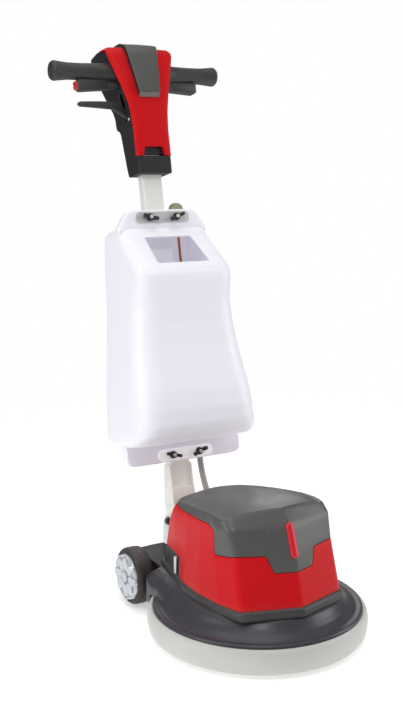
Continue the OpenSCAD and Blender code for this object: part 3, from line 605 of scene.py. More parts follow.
# a lobe's section: distance in from its outer edge, and height
LOBE_DEPTHS = [0, 1.5, 5, 11, 20, 32, 48, 74]
LOBE_HEIGHTS = [66, 76, 86, 94.5, 100, 102.6, 103.4, 103.8]
LOBE_STEPS = [0, 0.6, 1.5, 3, 5, 7.5, 10.5, 14, 18, 23, 29, 36, 44, 53, 63, 74]
LOBE_FOOT = 60.5
# the crown's exact section: radius, height, corner radius
CROWN_LINE = [
    (120, 100.0, 0), (146, 100.0, 10), (158.5, 98.4, 12), (168.5, 92.6, 14), (177, 83, 14),
    (186, 75, 14), (197, 68.6, 12), (204.5, 65.6, 5), (209, 66.6, 3), (213.5, 68.0, 3.5),
    (RIM - 1.4, 66.6, 2.2), (RIM, 62.5, 2), (RIM, 50.0, 0),
]


def wheel_lobes():
    """The crown swelling out into a guard in front of each wheel."""
    parts = []
    for side in (1, -1):
        rows = []
        for y in range(8, 188, 3):
            edge = min(math.sqrt(216.0 ** 2 - y * y), 177.8)
            swell = smoothstep((y - 10) / 115)
            row = []
            for depth in LOBE_STEPS:
                x = edge - depth
                crown = interp(math.hypot(x, y), CROWN_RADII, CROWN_HEIGHTS)
                lobe = interp(depth, LOBE_DEPTHS, LOBE_HEIGHTS) - 3.0 * smoothstep((y - 176) / 11)
                if depth <= 3:
                    lobe -= 2 * smoothstep((y - 178) / 8)
                z = crown * (1 - swell) + lobe * swell - 0.2 * (1 - swell)
                row.append((side * x, y, z))
            row += [(side * (edge - LOBE_STEPS[-1]), y, LOBE_FOOT), (side * edge, y, LOBE_FOOT)]
            rows.append(row)
        parts.append(grid(rows, caps=(True, True)))
    return parts


def true_crown(mesh):
    """Draws vertices within 3 mm of the crown's section onto it, fading out towards the back."""
    points = np.zeros(len(mesh.vertices) * 3)
    mesh.vertices.foreach_get("co", points)
    points = points.reshape(-1, 3)
    line = vec(rounded([row[:2] for row in CROWN_LINE], [row[2] for row in CROWN_LINE],
                       8, 3, closed=False)) * 0.001
    radii = np.hypot(points[:, 0], points[:, 1])
    top = np.nonzero((radii > 0.124) & (points[:, 2] > 0.0505))[0]
    flat = np.stack([radii[top], points[top, 2]], 1)
    best = np.full(len(top), 9.0)           # squared distance to the nearest point of the line
    nearest = np.zeros((len(top), 2))
    for start, end in zip(line[:-1], line[1:]):
        step = end - start
        t = np.clip(((flat - start) @ step) / (step ** 2).sum(), 0, 1)
        foot = start + t[:, None] * step
        distance = ((flat - foot) ** 2).sum(1)
        closer = distance < best
        best[closer] = distance[closer]
        nearest[closer] = foot[closer]
    weight = np.where(np.sqrt(best) < 0.0030, 1.0, 0.0)
    weight = weight * smoothstep((0.036 - points[top, 1]) / 0.030)
    scale = (radii[top] + (nearest[:, 0] - radii[top]) * weight) / radii[top]
    points[top, 0] *= scale
    points[top, 1] *= scale
    points[top, 2] += (nearest[:, 1] - points[top, 2]) * weight
    mesh.vertices.foreach_set("co", points.ravel())
    mesh.update()


def deck():
    ob = cad_copy("deck", flatten=False)
    join(ob.data, make_mesh("lobes", wheel_lobes(), BASE))
    soften(ob, voxel=0.0023, iterations=13)
    true_crown(ob.data)
    finish(ob, "base", "deck_paint", angle=None)


deck()

# ------------------------------------------------------------------ hood: its outer skin
# height, then the right half of the plan (x, y) from the front ridge to the back
HOOD_LEVELS = [
    (114.0, [(0, -164), (120, -127), (136, -70), (144.5, 0), (142.5, 60), (128, 123),
             (117, 194), (106, 210), (0, 214.5)]),
    (215.0, [(0, -136), (117, -99), (129, -40), (132, 10), (130, 70), (122, 140),
             (115, 171), (101, 188), (0, 194)]),
    (264.0, [(0, -118), (121, -83), (129, -42), (129, 10), (125, 70), (117, 132),
             (111, 161), (96, 179), (0, 188)]),
    (281.2, [(0, -84), (120, -66), (126, -30), (124, 10), (118, 64), (110, 118),
             (103, 149), (87, 170), (0, 180)]),
]
HOOD_RADII = [9, 22, 26, 90, 90, 50, 12, 15, 40]
HOOD_PLANS = [vec(symmetric(half, HOOD_RADII, 10, 7)) for _, half in HOOD_LEVELS]
COLUMN_COUNT = len(HOOD_PLANS[0])
HOOD_FOOT = HOOD_LEVELS[0][0]
BELT = 230              # height at which lengths round the hood are measured


def roof_side(y):
    """Height of the roof along its sides."""
    return interp(y, [-55, -20, 14, 66, 112, 140, 160, 172],
                  [281.4, 281.2, 279.5, 273, 266, 261, 259.5, 259.5])


def roof_edge(x, y):
    """The roof's edge rises to the ridge along the front and falls away behind."""
    if y < -55:
        return 281.4 + 11.8 * max(0.0, 1 - (abs(x) / 115) ** 1.7)
    if y > 155:
        return roof_side(y) + 6.0 * max(0.0, 1 - (abs(x) / 80) ** 2) * smoothstep((y - 155) / 15)
    return roof_side(y)


def roof(x, y):
    """Height of the roof: a broad low crown, sharper towards the front ridge."""
    top = interp(y, [-90, -84, -58, -20, 33, 100, 136, 160, 172],
                 [292.8, 293.3, 296, 296.8, 293, 287, 279.5, 272, 267])
    low = roof_side(y)
    width = interp(y, [-84, -63, -30, 10, 66, 112, 140, 160, 172],
                   [114, 115, 122, 121, 115, 107, 99, 88, 84])
    power = interp(y, [-90, -30, 30, 60, 90, 172], [1.7, 2.4, 3.0, 2.5, 1.9, 1.8])
    return low + (top - low) * max(0.0, 1 - min(1.0, abs(x) / width) ** power)


def hood_column(i):
    """One upright line of the skin from its foot to the roof's edge, its breaks rounded."""
    points = [vec((*plan[i], level[0])) for plan, level in zip(HOOD_PLANS, HOOD_LEVELS)]
    x, y = HOOD_PLANS[3][i]
    top = roof_edge(x, y)
    points[3][2] = top
    points[2][2] = min(264.0, top - 17.0)
    points.append(vec((x * 0.72, 25 + (y - 25) * 0.72, top + 5.0)))
    column = vec(rounded(points, [0, 30, 15, 9, 0], 8, 9, closed=False))
    return column[:np.searchsorted(column[:, 2], top - 0.3) + 1]


def column_at(column, z):
    return vec((interp(z, column[:, 2], column[:, 0]), interp(z, column[:, 2], column[:, 1]), z))


COLUMNS = [hood_column(i) for i in range(COLUMN_COUNT)]
COLUMN_TOPS = vec([column[-1, 2] - 0.02 for column in COLUMNS])
BELT_LINE = vec([column_at(column, BELT)[:2] for column in COLUMNS])
SPANS = np.linalg.norm(np.roll(BELT_LINE, -1, 0) - BELT_LINE, axis=1)
ARCS = np.concatenate([[0], np.cumsum(SPANS)])      # length round the belt at each column
GIRTH = ARCS[-1]


def middle_column(side):
    """The column nearest x = 0 at the front (side -1) or the back (side 1)."""
    def distance(i):
        x, y = BELT_LINE[i]
        return abs(x) + (1000 if y * side < 0 else 0)
    return min(range(COLUMN_COUNT), key=distance)


RIDGE_ARC = ARCS[middle_column(-1)]
HALF = (ARCS[middle_column(1)] - RIDGE_ARC) % GIRTH     # from the ridge round to the back


def skin(s, z):
    """The outer skin at length s round from the ridge (right is positive) and height z."""
    arc = (RIDGE_ARC + s) % GIRTH
    i = min(int(np.searchsorted(ARCS, arc, side="right") - 1), COLUMN_COUNT - 1)
    share = (arc - ARCS[i]) / SPANS[i] if SPANS[i] > 1e-9 else 0
    here, there = column_at(COLUMNS[i], z), column_at(COLUMNS[(i + 1) % COLUMN_COUNT], z)
    return here * (1 - share) + there * share


def skin_top(s):
    return interp((RIDGE_ARC + s) % GIRTH, ARCS, np.append(COLUMN_TOPS, COLUMN_TOPS[0]))


def skin_normal(s, z):
    z = min(z, skin_top(s) - 0.6, skin_top(s + 1) - 0.6, skin_top(s - 1) - 0.6)
    around = skin(s + 1.0, z) - skin(s - 1.0, z)
    upward = skin(s, z + 0.5) - skin(s, max(HOOD_FOOT, z - 1.0))
    normal = np.cross(around, upward)
    return normal / np.linalg.norm(normal)


def under_skin(s, z, depth):
    return skin(s, z) - skin_normal(s, z) * depth if depth else skin(s, z)


def reach(value, coordinate, start, end, count):
    """Length from the ridge at which the belt's coordinate takes a value."""
    lengths = np.linspace(HALF * start, HALF * end, count)
    return interp(value, vec([skin(s, BELT)[coordinate] for s in lengths]), lengths)


def front_reach(x):
    return reach(x, 0, 0, 0.45, 400)


def side_reach(y):
    return reach(y, 1, 0.15, 0.93, 600)


# ------------------------------------------------------------------ hood: the stepped seam
# the right half from the ridge to the back: length from the ridge, height, corner radius
SEAM_HALF = [
    (0, 180, 0), (front_reach(45), 181, 4), (front_reach(57), 213.5, 4),
    (front_reach(112), 216, 20), (side_reach(-52), 207.5, 4), (side_reach(-42), 207, 4),
    (side_reach(-38.5), 255, 4), (side_reach(-18), 262.5, 4), (side_reach(100), 254.5, 4),
    (HALF - 60, 248, 4), (HALF, 247, 0),
]
NOTCH = side_reach(100.0)       # where the red shell's foot steps up, on both sides
HALF_GAP = 0.55                 # half the gap between the shells
LIP_RADIUS = 1.0
HOOD_WALL = 3.4


def seam_line():
    """The whole seam from the back round the front to the back, in steps of up to 4 mm."""
    corners = [(-s, z, radius) for s, z, radius in SEAM_HALF[:0:-1]] + SEAM_HALF
    line = rounded([row[:2] for row in corners], [row[2] for row in corners], closed=False)
    line = [line[0]] + [q for p, q in zip(line[:-1], line[1:]) if np.linalg.norm(q - p) > 0.01]
    points = []
    for start, end in zip(line[:-1], line[1:]):
        steps = max(1, int(math.ceil(np.linalg.norm(end - start) / 4.0)))
        points += [start + (end - start) * k / steps for k in range(steps)]
    for side in (-1, 1):        # a close pair of points on each notch
        for shift in (-0.4, 0.4):
            s = side * NOTCH + shift
            k = next(i for i in range(len(points)) if points[i][0] > s)
            before, after = points[k - 1], points[k]
            points.insert(k, before + (after - before) * (s - before[0]) / (after[0] - before[0]))
    return vec(points)


def seam_normals(seam):
    """Unit vectors across the seam, within the skin, pointing up."""
    tangents = np.roll(seam, -1, 0) - np.roll(seam, 1, 0)
    tangents[0] = (seam[1] - seam[0]) * 2
    tangents[-1] = vec(SEAM_HALF[-1][:2]) - seam[-2]
    tangents /= np.linalg.norm(tangents, axis=1)[:, None]
    return np.stack([-tangents[:, 1], tangents[:, 0]], 1)


SEAM = seam_line()
SEAM_NORMALS = seam_normals(SEAM)


def offset_seam(distance):
    """The seam moved across itself, kept single-valued along its length."""
    line = SEAM + SEAM_NORMALS * distance
    for i in range(1, len(line)):
        line[i, 0] = max(line[i, 0], line[i - 1, 0] + 0.02)
    return line


def lip_rows(side):
    """Rows round a shell's rounded edge and in to its inner skin; side -1 is the lower shell."""
    rows = []
    for degrees in (0, 22.5, 45, 67.5, 90):
        turn = math.radians(degrees)
        line = offset_seam(side * (HALF_GAP + LIP_RADIUS - LIP_RADIUS * math.sin(turn)))
        depth = LIP_RADIUS * (1 - math.cos(turn))
        rows.append([under_skin(s, z, depth) for s, z in line])
    rows.append([under_skin(s, z, HOOD_WALL) for s, z in offset_seam(side * HALF_GAP)])
    return rows


# ------------------------------------------------------------------ hood: the two shells
def hood_lower():
    def wall(distance, depth, steps=9):
        rows = []
        for k in range(steps):
            row = []
            for s, z in offset_seam(-distance):
                foot = 114.2 if abs(s) < NOTCH else 155.2
                row.append(under_skin(s, foot + (z - foot) * k / steps, depth))
            rows.append(row)
        return rows

    outer = wall(HALF_GAP + LIP_RADIUS, 0)
    inner = wall(HALF_GAP, HOOD_WALL)
    part = grid(outer + lip_rows(-1) + inner[::-1], close_v=True)
    finish(build("hood_lower_v", [part], BASE), "base", "hood_red", angle=60)


def hood_top():
    def wall(distance, depth, steps=16):
        rows = []
        for k in range(steps + 1):
            share = 1 - (1 - k / steps) ** 1.5
            rows.append([under_skin(s, z + (skin_top(s) - z) * share, depth)
                         for s, z in offset_seam(distance)])
        return rows

    def cap(edge, lift, steps=18):
        """Rows from the roof's edge in to the middle line."""
        rows = []
        for k in range(1, steps + 1):
            share = k / steps
            share = share * share * 0.35 + share * 0.65
            blend = smoothstep(share * 4)
            row = []
            for point in edge:
                middle = -80 + (point[1] + 84) / 256 * 240
                x = point[0] * (1 - share)
                y = point[1] + (middle - point[1]) * share
                row.append((x, y, point[2] + (roof(x, y) + lift - point[2]) * blend))
            rows.append(row)
        return rows

    outer = wall(HALF_GAP + LIP_RADIUS, 0)
    inner = wall(HALF_GAP, HOOD_WALL)
    inner_rows = inner[1:] + cap(inner[-1], -HOOD_WALL)
    rows = inner_rows[::-1] + lip_rows(1)[::-1] + outer[1:] + cap(outer[-1], 0)
    ob = build("hood_top_v", [grid(rows)], BASE, weld=2e-5)
    subtract(ob, badge(width=18.6, length=72.6, height=6.0, plunge=2.4), space=BASE)
    finish(ob, "base", "hood_grey", angle=50)


RIDGE_UP = skin(0, 262.0) - skin(0, 214.0)
RIDGE_UP /= np.linalg.norm(RIDGE_UP)
RIDGE_OUT = vec((0.0, -RIDGE_UP[2], RIDGE_UP[1]))
RIDGE_OUT /= np.linalg.norm(RIDGE_OUT)
BADGE_CENTRE = skin(0, 239.5)


def stadium(width, length, steps=10):
    radius = width / 2
    points = []
    for side in (1, -1):
        for k in range(steps + 1):
            turn = math.pi * k / steps + (0 if side > 0 else math.pi)
            points.append((radius * math.cos(turn),
                           side * (length / 2 - radius) + radius * math.sin(turn)))
    return points


def badge(width, length, height, plunge):
    """A long domed badge across the ridge, sunk into it by plunge."""
    straight = length / 2 - width / 2
    # scale of the outline, height above the ridge
    levels = [(0.02, height), (0.45, height * 0.98), (0.75, height * 0.86),
              (0.90, height * 0.62), (0.98, height * 0.25), (1.0, -0.4), (1.0, -plunge)]
    rows = []
    for scale, level in levels:
        row = []
        for x, y in stadium(width, length):
            x *= scale
            core = max(-straight, min(straight, y))
            along = core + (y - core) * scale
            fall = abs(x) * 0.27 * min(1.0, abs(x) / 5)
            row.append(BADGE_CENTRE + vec((1.0, 0, 0)) * x + RIDGE_UP * along
                       + RIDGE_OUT * (level - fall))
        rows.append(row)
    return grid(rows, caps=(True, True))


def hood_insert():
    part = badge(width=17.2, length=71.2, height=3.0, plunge=3.0)
    finish(build("hood_insert_v", [part], BASE), "base", "button_red", angle=50)


hood_lower()
hood_top()
hood_insert()


# ------------------------------------------------------------------ rubber skirt
def skirt_band():
    """The band round the hood's foot."""
    half = [(0, -172), (123, -136), (141, -74), (150, 0), (148, 62), (134, 126),
            (122, 200), (110, 217), (0, 221)]
    ring = vec(symmetric(half, [9, 22, 28, 90, 90, 60, 22, 22, 40], 10, 7))
    tangents = np.roll(ring, -1, 0) - np.roll(ring, 1, 0)
    tangents /= np.linalg.norm(tangents, axis=1)[:, None]
    outward = np.stack([tangents[:, 1], -tangents[:, 0]], 1)
    # distance out, height
    section = rounded(
        [(0.0, 96.0), (0.6, 99.5), (0.4, 103.0), (0.0, 108.5), (-2.6, 113.2), (-6.0, 113.9),
         (-12.0, 113.8), (-14.0, 108.0), (-14.0, 96.0)],
        [0.8, 1, 3, 3, 2.4, 1.6, 1.0, 1.0, 0.5], 4)
    rows = [[(*point, z) for point in ring + outward * distance] for distance, z in section]
    return grid(rows, close_v=True)


def skirt_apron():
    """The apron round the back, up to the red shell's raised edge."""
    width = GIRTH - 2 * NOTCH
    steps = int(width / 5)
    lengths = [NOTCH + 0.9 + (width - 1.8) * k / steps for k in range(steps + 1)]
    heights = [110.0, 116, 124, 132, 140, 148, 153.2, 154.4]
    rows = []
    # heights, depth under the skin, depth at the top edge
    for levels, depth, top_depth in ((heights, 0.3, 1.2), (heights[::-1], 3.4, 2.6)):
        for z in levels:
            inward = depth if z < 154 else top_depth
            drop = vec((0, 0, max(0.0, HOOD_FOOT - z)))
            rows.append([skin(s, max(HOOD_FOOT, z))
                         - skin_normal(s, max(HOOD_FOOT + 1, z)) * inward - drop
                         for s in lengths])
    vertices, faces = grid(rows, close_u=False, close_v=True)
    count = len(lengths)
    faces.append(tuple(k * count for k in range(len(rows))))
    faces.append(tuple(k * count + count - 1 for k in range(len(rows)))[::-1])
    return vertices, faces


finish(build("hood_skirt_v", [skirt_band(), skirt_apron()], BASE), "base", "skirt_rubber",
       slot="seal_rubber", angle=45)

# ------------------------------------------------------------------ tank and its tabs
CLAMP_HEIGHTS = (213, 755.5)
STUDS = [(x, z) for z in CLAMP_HEIGHTS for x in (-34, 34)]
# the front's outline up the middle: y, z, corner radius
TANK_FRONT = [
    (-80, 242, 0), (-115, 247, 20), (-138, 262, 20), (-149, 284, 30), (-153, 318, 50),
    (-150, 360, 60), (-142, 405, 80), (-135, 460, 80), (-134, 510, 80), (-139, 555, 70),
    (-149, 600, 40), (-150, 617, 14), (-143, 630, 12), (-129, 642.7, 12), (-59.5, 709.3, 16),
    (-50, 722, 12), (-40, 735, 0),
]


def stud_holes(start, end):
    return [prism("y", circle(x, z, 4.3, 24), start, end) for x, z in STUDS]


def tank_body():
    rows = []
    last = -math.inf
    for front, z in rounded([row[:2] for row in TANK_FRONT], [row[2] for row in TANK_FRONT],
                            5, 3, closed=False):
        if z - last < 0.4:
            continue
        last = z
        width = interp(z, [240, 244, 253, 270, 364, 463, 553, 700, 722, 733, 737],
                       [136, 146, 152, 153, 145, 133.5, 123.5, 115, 112, 104, 92])
        back = interp(z, [242, 246, 250, 300, 660, 722, 731, 735],
                      [36, 41, 44, 46.5, 46.5, 43, 37, 22])
        front_radius = interp(z, [242, 290, 560, 640, 735], [34, 56, 54, 34, 20])
        # the channel in the back, which the pole lies in, is 29.4 wide each side
        half = [(0, front), (width, front), (width, back), (29.4, back), (29.4, -15.6),
                (0, -15.6)]
        section = symmetric(half, [0, front_radius, 9, 3, 4, 0], 9, 7)
        rows.append([(x, y, z) for x, y in section])
    return grid(rows, caps=(True, True))


def tank_mouth():
    """The cutter for the mouth in the tank's slope."""
    cos, sin = math.cos(math.radians(44)), math.sin(math.radians(44))
    outline = rounded([(66, -48), (60, 48), (-60, 48), (-66, -48)], 6)
    rows = [[(x, -94 + v * cos - height * sin, 676 + v * sin + height * cos)
             for x, v in outline] for height in (-20, 22)]
    return grid(rows, caps=(True, True))


def tank_tab(half, radii, middle):
    """A plate with rounded rims; half is its +x outline (x, z), middle the height it closes to."""
    ring = rounded(half + [(-x, z) for x, z in half[::-1]], radii + radii[::-1], 6, 4)
    front, back = -43.2, -18.2
    # inset, y
    layers = [(6.5, back), (3.6, back), (1.6, back - 0.9), (0.4, back - 2.6), (0, back - 4.6),
              (0, front + 5.0), (0.35, front + 3.0), (1.5, front + 1.1), (3.2, front + 0.15),
              (5.0, front), (6.8, front)]
    return loft("y", [(inset(ring, amount, (0.0, middle)), y) for amount, y in layers])


def tank():
    ob = build("tank_v", [tank_body()], POLE)
    modify(ob, "SOLIDIFY", thickness=0.0038, offset=-1, use_even_offset=True,
           use_quality_normals=True)
    bake(ob)
    subtract(ob, tank_mouth())
    bevel_edges(ob, 1.3, segments=3, limit=50)
    low = tank_tab([(122, 196.5), (148, 200), (148, 262), (134, 262), (124, 248)],
                   [10, 26, 4, 3, 3], 228)
    top = tank_tab([(100, 727), (114.5, 716), (111, 736), (88, 768), (76, 773.5)],
                   [1, 3, 12, 14, 8], 745)
    tabs = build("tabs", [low, top], POLE, weld=1e-7)
    subtract(tabs, *stud_holes(-60, -20))
    tab_mesh = tabs.data
    bpy.data.objects.remove(tabs)
    join(ob.data, tab_mesh)
    finish(ob, "handle", "tank_white", angle=45)


tank()


# ------------------------------------------------------------------ head: cover, visor, housing
def slab(points, radii, corner_steps, edge_steps, section):
    """section(y, z) gives (x, height) points, carried along a (y, z) path on its outer side."""
    path = []
    for point in rounded(points, radii, corner_steps, edge_steps, closed=False):
        if not path or np.linalg.norm(point - path[-1]) > 0.05:
            path.append(point)
    rows = []
    for i, (y, z) in enumerate(path):
        along = path[min(i + 1, len(path) - 1)] - path[max(i - 1, 0)]
        along = along / np.linalg.norm(along)
        rows.append([(x, y - along[1] * height, z + along[0] * height)
                     for x, height in section(y, z)])
    return grid(rows, caps=(True, True))


def head_cover():
    def section(y, z):
        if y < 0:
            width = interp(
                z, [899, 959, 1000, 1021, 1046, 1070, 1104, 1138, 1150, 1170],
                [44.6, 44.2, 47.2, 50.6, 56.6, 63.6, 73.5, 83.4, 84.4, 81.4])
        else:
            width = interp(y, [0, 40, 99], [83.4, 80, 77])
        chamfer = interp(z, [899, 960, 1071, 1138], [5.5, 6.5, 9.0, 10.5])
        depth = interp(z, [899, 1000, 1071, 1120, 1138, 1148], [8.3, 8.8, 11.0, 11.4, 9.6, 8.3])
        half = [(0, 0.6), (width * 0.55, 0.4), (width - chamfer, -0.2),
                (width, -min(6.0, chamfer * 0.66)), (width + 0.3, -depth), (width - 3, -depth),
                (width - 4, -7.9), (0, -7.9)]
        return symmetric(half, [0, 6, 4, 2.6, 0.3, 0.3, 0.5, 0], 5, 3)

    path = [(-36, 899), (-36, 1021), (-30, 1071), (-15.5, 1138), (-8, 1151.8), (16, 1158),
            (40, 1160.4)]
    ob = build("head_cover_v", [slab(path, [0, 60, 60, 40, 12, 18, 0], 6, 6, section)], POLE)
    notch = rounded([(30, 880), (28, 899), (23, 919.5), (-23, 919.5), (-28, 899), (-30, 880)],
                    [0, 0, 3.5, 3.5, 0, 0], 5, 2)
    subtract(ob, prism("y", notch, -60, 0))
    finish(ob, "handle", "hood_red", angle=38, bevel=1.1, limit=42)


def head_visor():
    def section(y, z):
        if y < -10:
            width = interp(z, [1034, 1156], [25.2, 41])
        else:
            width = interp(y, [-10, 20, 76], [41, 40, 36])
        if y < -15:
            bottom = interp(z, [1033, 1042, 1071, 1138], [-0.8, -9.0, -10.5, -10.5])
        else:
            bottom = -4.5 if y > 60 else -9.0
        shoulder = bottom * 0.5 if bottom > -2.2 else -1.4
        half = [(0, 0.9), (width * 0.6, 0.5), (width - 1.6, 0.0), (width, shoulder),
                (width + 0.8, bottom), (0, bottom)]
        return symmetric(half, [0, 5, 1.2, 1.0, 0.2, 0], 4, 3)

    def choose(centre, face):
        if abs(face.normal.x) > 0.75:       # the sides are black
            return 1
        return 2 if centre.z < 1041.5 and centre.y < -30 else 0     # a band at the foot

    path = [(-36.6, 1033.0), (-45.4, 1042), (-40.4, 1071), (-25.6, 1138), (-18, 1156.5),
            (14, 1168), (60, 1171.2), (76, 1168.4)]
    part = slab(path, [0, 3, 50, 40, 13, 26, 30, 0], 6, 5, section)
    ob = build("head_visor_v", [part], POLE)
    finish(ob, "handle", "hood_grey", "black_plastic", "visor_band", angle=38, bevel=0.5,
           segments=2, limit=50)
    paint(ob, choose)


def head_housing():
    screw_x, screw_y, screw_z = -46.2, -14, 986
    ob = cad_copy("head_housing", flatten=False)
    soften(ob, voxel=0.0016, iterations=9)
    # faint ribs down the neck, and the screw on its -x side
    parts = [tube([(x, -34.5, 866), (x, -34.75, 869), (x, -34.75, 893), (x, -34.5, 896)],
                  [0.3, 0.8, 0.8, 0.3], 8) for x in (-26, -17.5, -9, 0, 9, 17.5, 26)]
    dome = rounded([(0.01, 1.9), (2.6, 1.6), (3.7, 0.6), (3.9, -0.8)], [0, 1, 0.6, 0], 4,
                   closed=False)
    screw = revolve(dome, 24, "x", False, (0, screw_y, screw_z))
    parts.append(moved(screw, lambda x, y, z: (screw_x - x, y, z)))
    join(ob.data, make_mesh("ribs", parts, POLE))
    finish(ob, "handle", "black_plastic", "chrome", angle=60)
    paint(ob, lambda centre, face: int(
        centre.x < screw_x - 0.1 and abs(centre.y - screw_y) < 4.2
        and abs(centre.z - screw_z) < 4.2 and face.area < 3e-6))


head_cover()
head_visor()
head_housing()


# ------------------------------------------------------------------ lever, grips and triggers
def tilt_lever():
    ring = rounded(
        [(-42.5, 990.5), (-30.5, 997.5), (-64, 1029.8), (-110, 1029.6), (-153, 1028.4),
         (-159.5, 1027), (-161.5, 1022.6), (-158.5, 1018.4), (-153, 1017.2), (-110, 1014.8),
         (-77, 1012.4)],
        [1, 1, 10, 60, 6, 2.4, 2.4, 2.4, 6, 60, 9], 6, 2)
    # y, inset
    layers = [(0.2, 1.5), (0.7, 0.6), (1.7, 0.0), (8.3, 0.0), (9.3, 0.6), (9.8, 1.5)]
    arm = loft("y", [(inset(ring, amount), y) for y, amount in layers])
    boss_profile = rounded([(3.1, 0.2), (6.2, 0.2), (7.0, 1.0), (7.0, 9.0), (6.2, 9.8),
                            (3.1, 9.8)], [0, 0.4, 0.6, 0.6, 0.4, 0], 3)
    boss = revolve(boss_profile, 32, "y", True, (-36, 0, 993))
    finish(build("tilt_lever_v", [arm, boss], POLE), BODY["tilt_lever"], "grip_plastic",
           slot="black_plastic", angle=50)


def grips():
    end = box_mm("grips")[1][0] - 3.0
    bar_centre = (0, 21.0, 1101.0)
    profile = rounded(
        [(11.3, 60), (27.5, 60), (23.6, 76), (20.4, 98), (19.0, 140), (19.3, 172), (21.4, 194),
         (22.6, end - 8.0), (22.3, end - 4.8), (19.2, end - 0.2), (17.4, end),
         (16.6, end - 1.2), (16.0, end - 4.0), (0.01, end - 4.2)],
        [0.3, 2, 16, 24, 40, 24, 18, 4, 1.2, 0.8, 0.5, 0.5, 0.8, 0], 5, 3, closed=False)
    right = revolve(profile, 56, "x", False, bar_centre)
    vertices, faces = moved(right, lambda x, y, z: (-x, y, z))
    left = vertices, [face[::-1] for face in faces]
    finish(build("grips_v", [right, left], POLE), "handle", "grip_plastic", angle=45)


def trigger_paddle(side):
    ring = rounded([(64, 1064), (66, 1062), (110, 1058.6), (147, 1055.6), (153.5, 1060),
                    (154, 1075), (151.5, 1082), (64, 1082.5)], [2, 4, 20, 5, 4, 3, 3, 1], 6, 2)
    # y, inset
    layers = [(9.6, 2.0), (10.2, 0.8), (11.6, 0.0), (29.8, 0.0), (31.2, 0.8), (31.8, 2.0)]
    return loft("y", [([(side * x, z) for x, z in inset(ring, amount, (110.0, 1071.0))], y)
                      for y, amount in layers])


def trigger_arm(side):
    outline = rounded([(-5.6, 1060), (10, 1059.5), (12, 1070), (-2, 1072.6), (-6, 1069)],
                      [3, 1, 1, 3, 2], 4)
    return prism("x", outline, side * 64.4, side * 75.6)


def trigger_bar():
    ob = build("trigger_bar_v", [trigger_paddle(-1)], POLE)
    subtract(ob, prism("x", rectangle(12.7, 1059.2, 29.3, 1077.8, 1.2, 3), -158, -143.6))
    shaft = tube([(-84, 0, 1066), (84, 0, 1066)], 4.0, 24)
    join(ob.data, make_mesh("rest", [trigger_paddle(1), trigger_arm(1), trigger_arm(-1), shaft],
                            POLE))
    finish(ob, "trigger", "grip_plastic", angle=40)


def safety_button():
    """A button with a wavy face, in the seat at the end of the left paddle."""
    low, height, steps = 1059.6, 17.8, 40
    outline = []
    for k in range(steps + 1):
        wave = math.cos(TURN * 2.5 * k / steps + 0.5) * math.sin(math.pi * k / steps) ** 0.4
        outline.append((-157.6 - 1.15 * wave, low + height * k / steps))
    outline += [(-148.2, low + height), (-148.2, low)]
    layers = []
    # y, inset
    for y, amount in ((13.1, 0.7), (13.5, 0.2), (14.3, 0), (27.7, 0), (28.5, 0.2), (28.9, 0.7)):
        layers.append(([(x + (amount if x < -150 else 0), z + (amount * (1068.5 - z) / 8.9))
                        for x, z in outline], y))
    finish(build("safety_button_v", [loft("y", layers)], POLE), BODY["safety_button"],
           "button_red", angle=60)


tilt_lever()
grips()
trigger_bar()
safety_button()

# ------------------------------------------------------------------ wheels
TYRE_LOW, TYRE_HIGH = box_mm("tyre_right")
WHEEL_Y, WHEEL_Z = (TYRE_LOW[1:] + TYRE_HIGH[1:]) / 2
WHEEL_RADIUS = (TYRE_HIGH[2] - TYRE_LOW[2]) / 2
OUTER_SHIFT = 4         # the outer faces of tyre and hub stand this much further out


def tyre(side, name):
    # radius, x, corner radius
    table = [
        (51.6, 140.2, 0.3), (51.6, 174.4, 0.4), (52.6, 175.6, 0.8), (55, 176.2, 1.0),
        (57.4, 175.6, 1.4), (WHEEL_RADIUS - 3.2, 173.2, 3), (WHEEL_RADIUS - 0.5, 168.6, 4),
        (WHEEL_RADIUS, 163, 4), (WHEEL_RADIUS, 151, 4), (WHEEL_RADIUS - 0.5, 145.5, 4),
        (WHEEL_RADIUS - 3.2, 141, 3), (57.5, 138.6, 2), (53, 138.3, 1),
    ]
    profile = rounded([row[:2] for row in table], [row[2] for row in table], 5, 2)
    part = moved(revolve(profile, 128, "x", True, (0, WHEEL_Y, WHEEL_Z)),
                 lambda x, y, z: (side * (x + (OUTER_SHIFT if x > 145 else 1)), y, z))
    finish(build(name + "_v", [part], BASE), BODY[name], "tyre_rubber", angle=60)


HUB_RADII = [0.01, 3, 6, 8.5, 10.6, 11.6, 12.3, 13.2, 14.4, 15.8, 17.2, 18.6, 20, 22, 24, 26, 28,
             30, 32, 34, 36, 38, 39.6, 41.0, 42.2, 43.2, 44.2, 45.4, 46.6, 47.8, 49.0, 50.0,
             50.8, 51.3]
# the rest of the section, round the back and into the bore: radius, x
HUB_BACK = [(51.45, 177.5), (51.45, 141.2), (47.2, 141.0), (46.2, 153.5), (16.4, 149.8),
            (15.9, 137.2), (8.2, 137.2), (8.2, 168.4), (0.01, 168.4)]


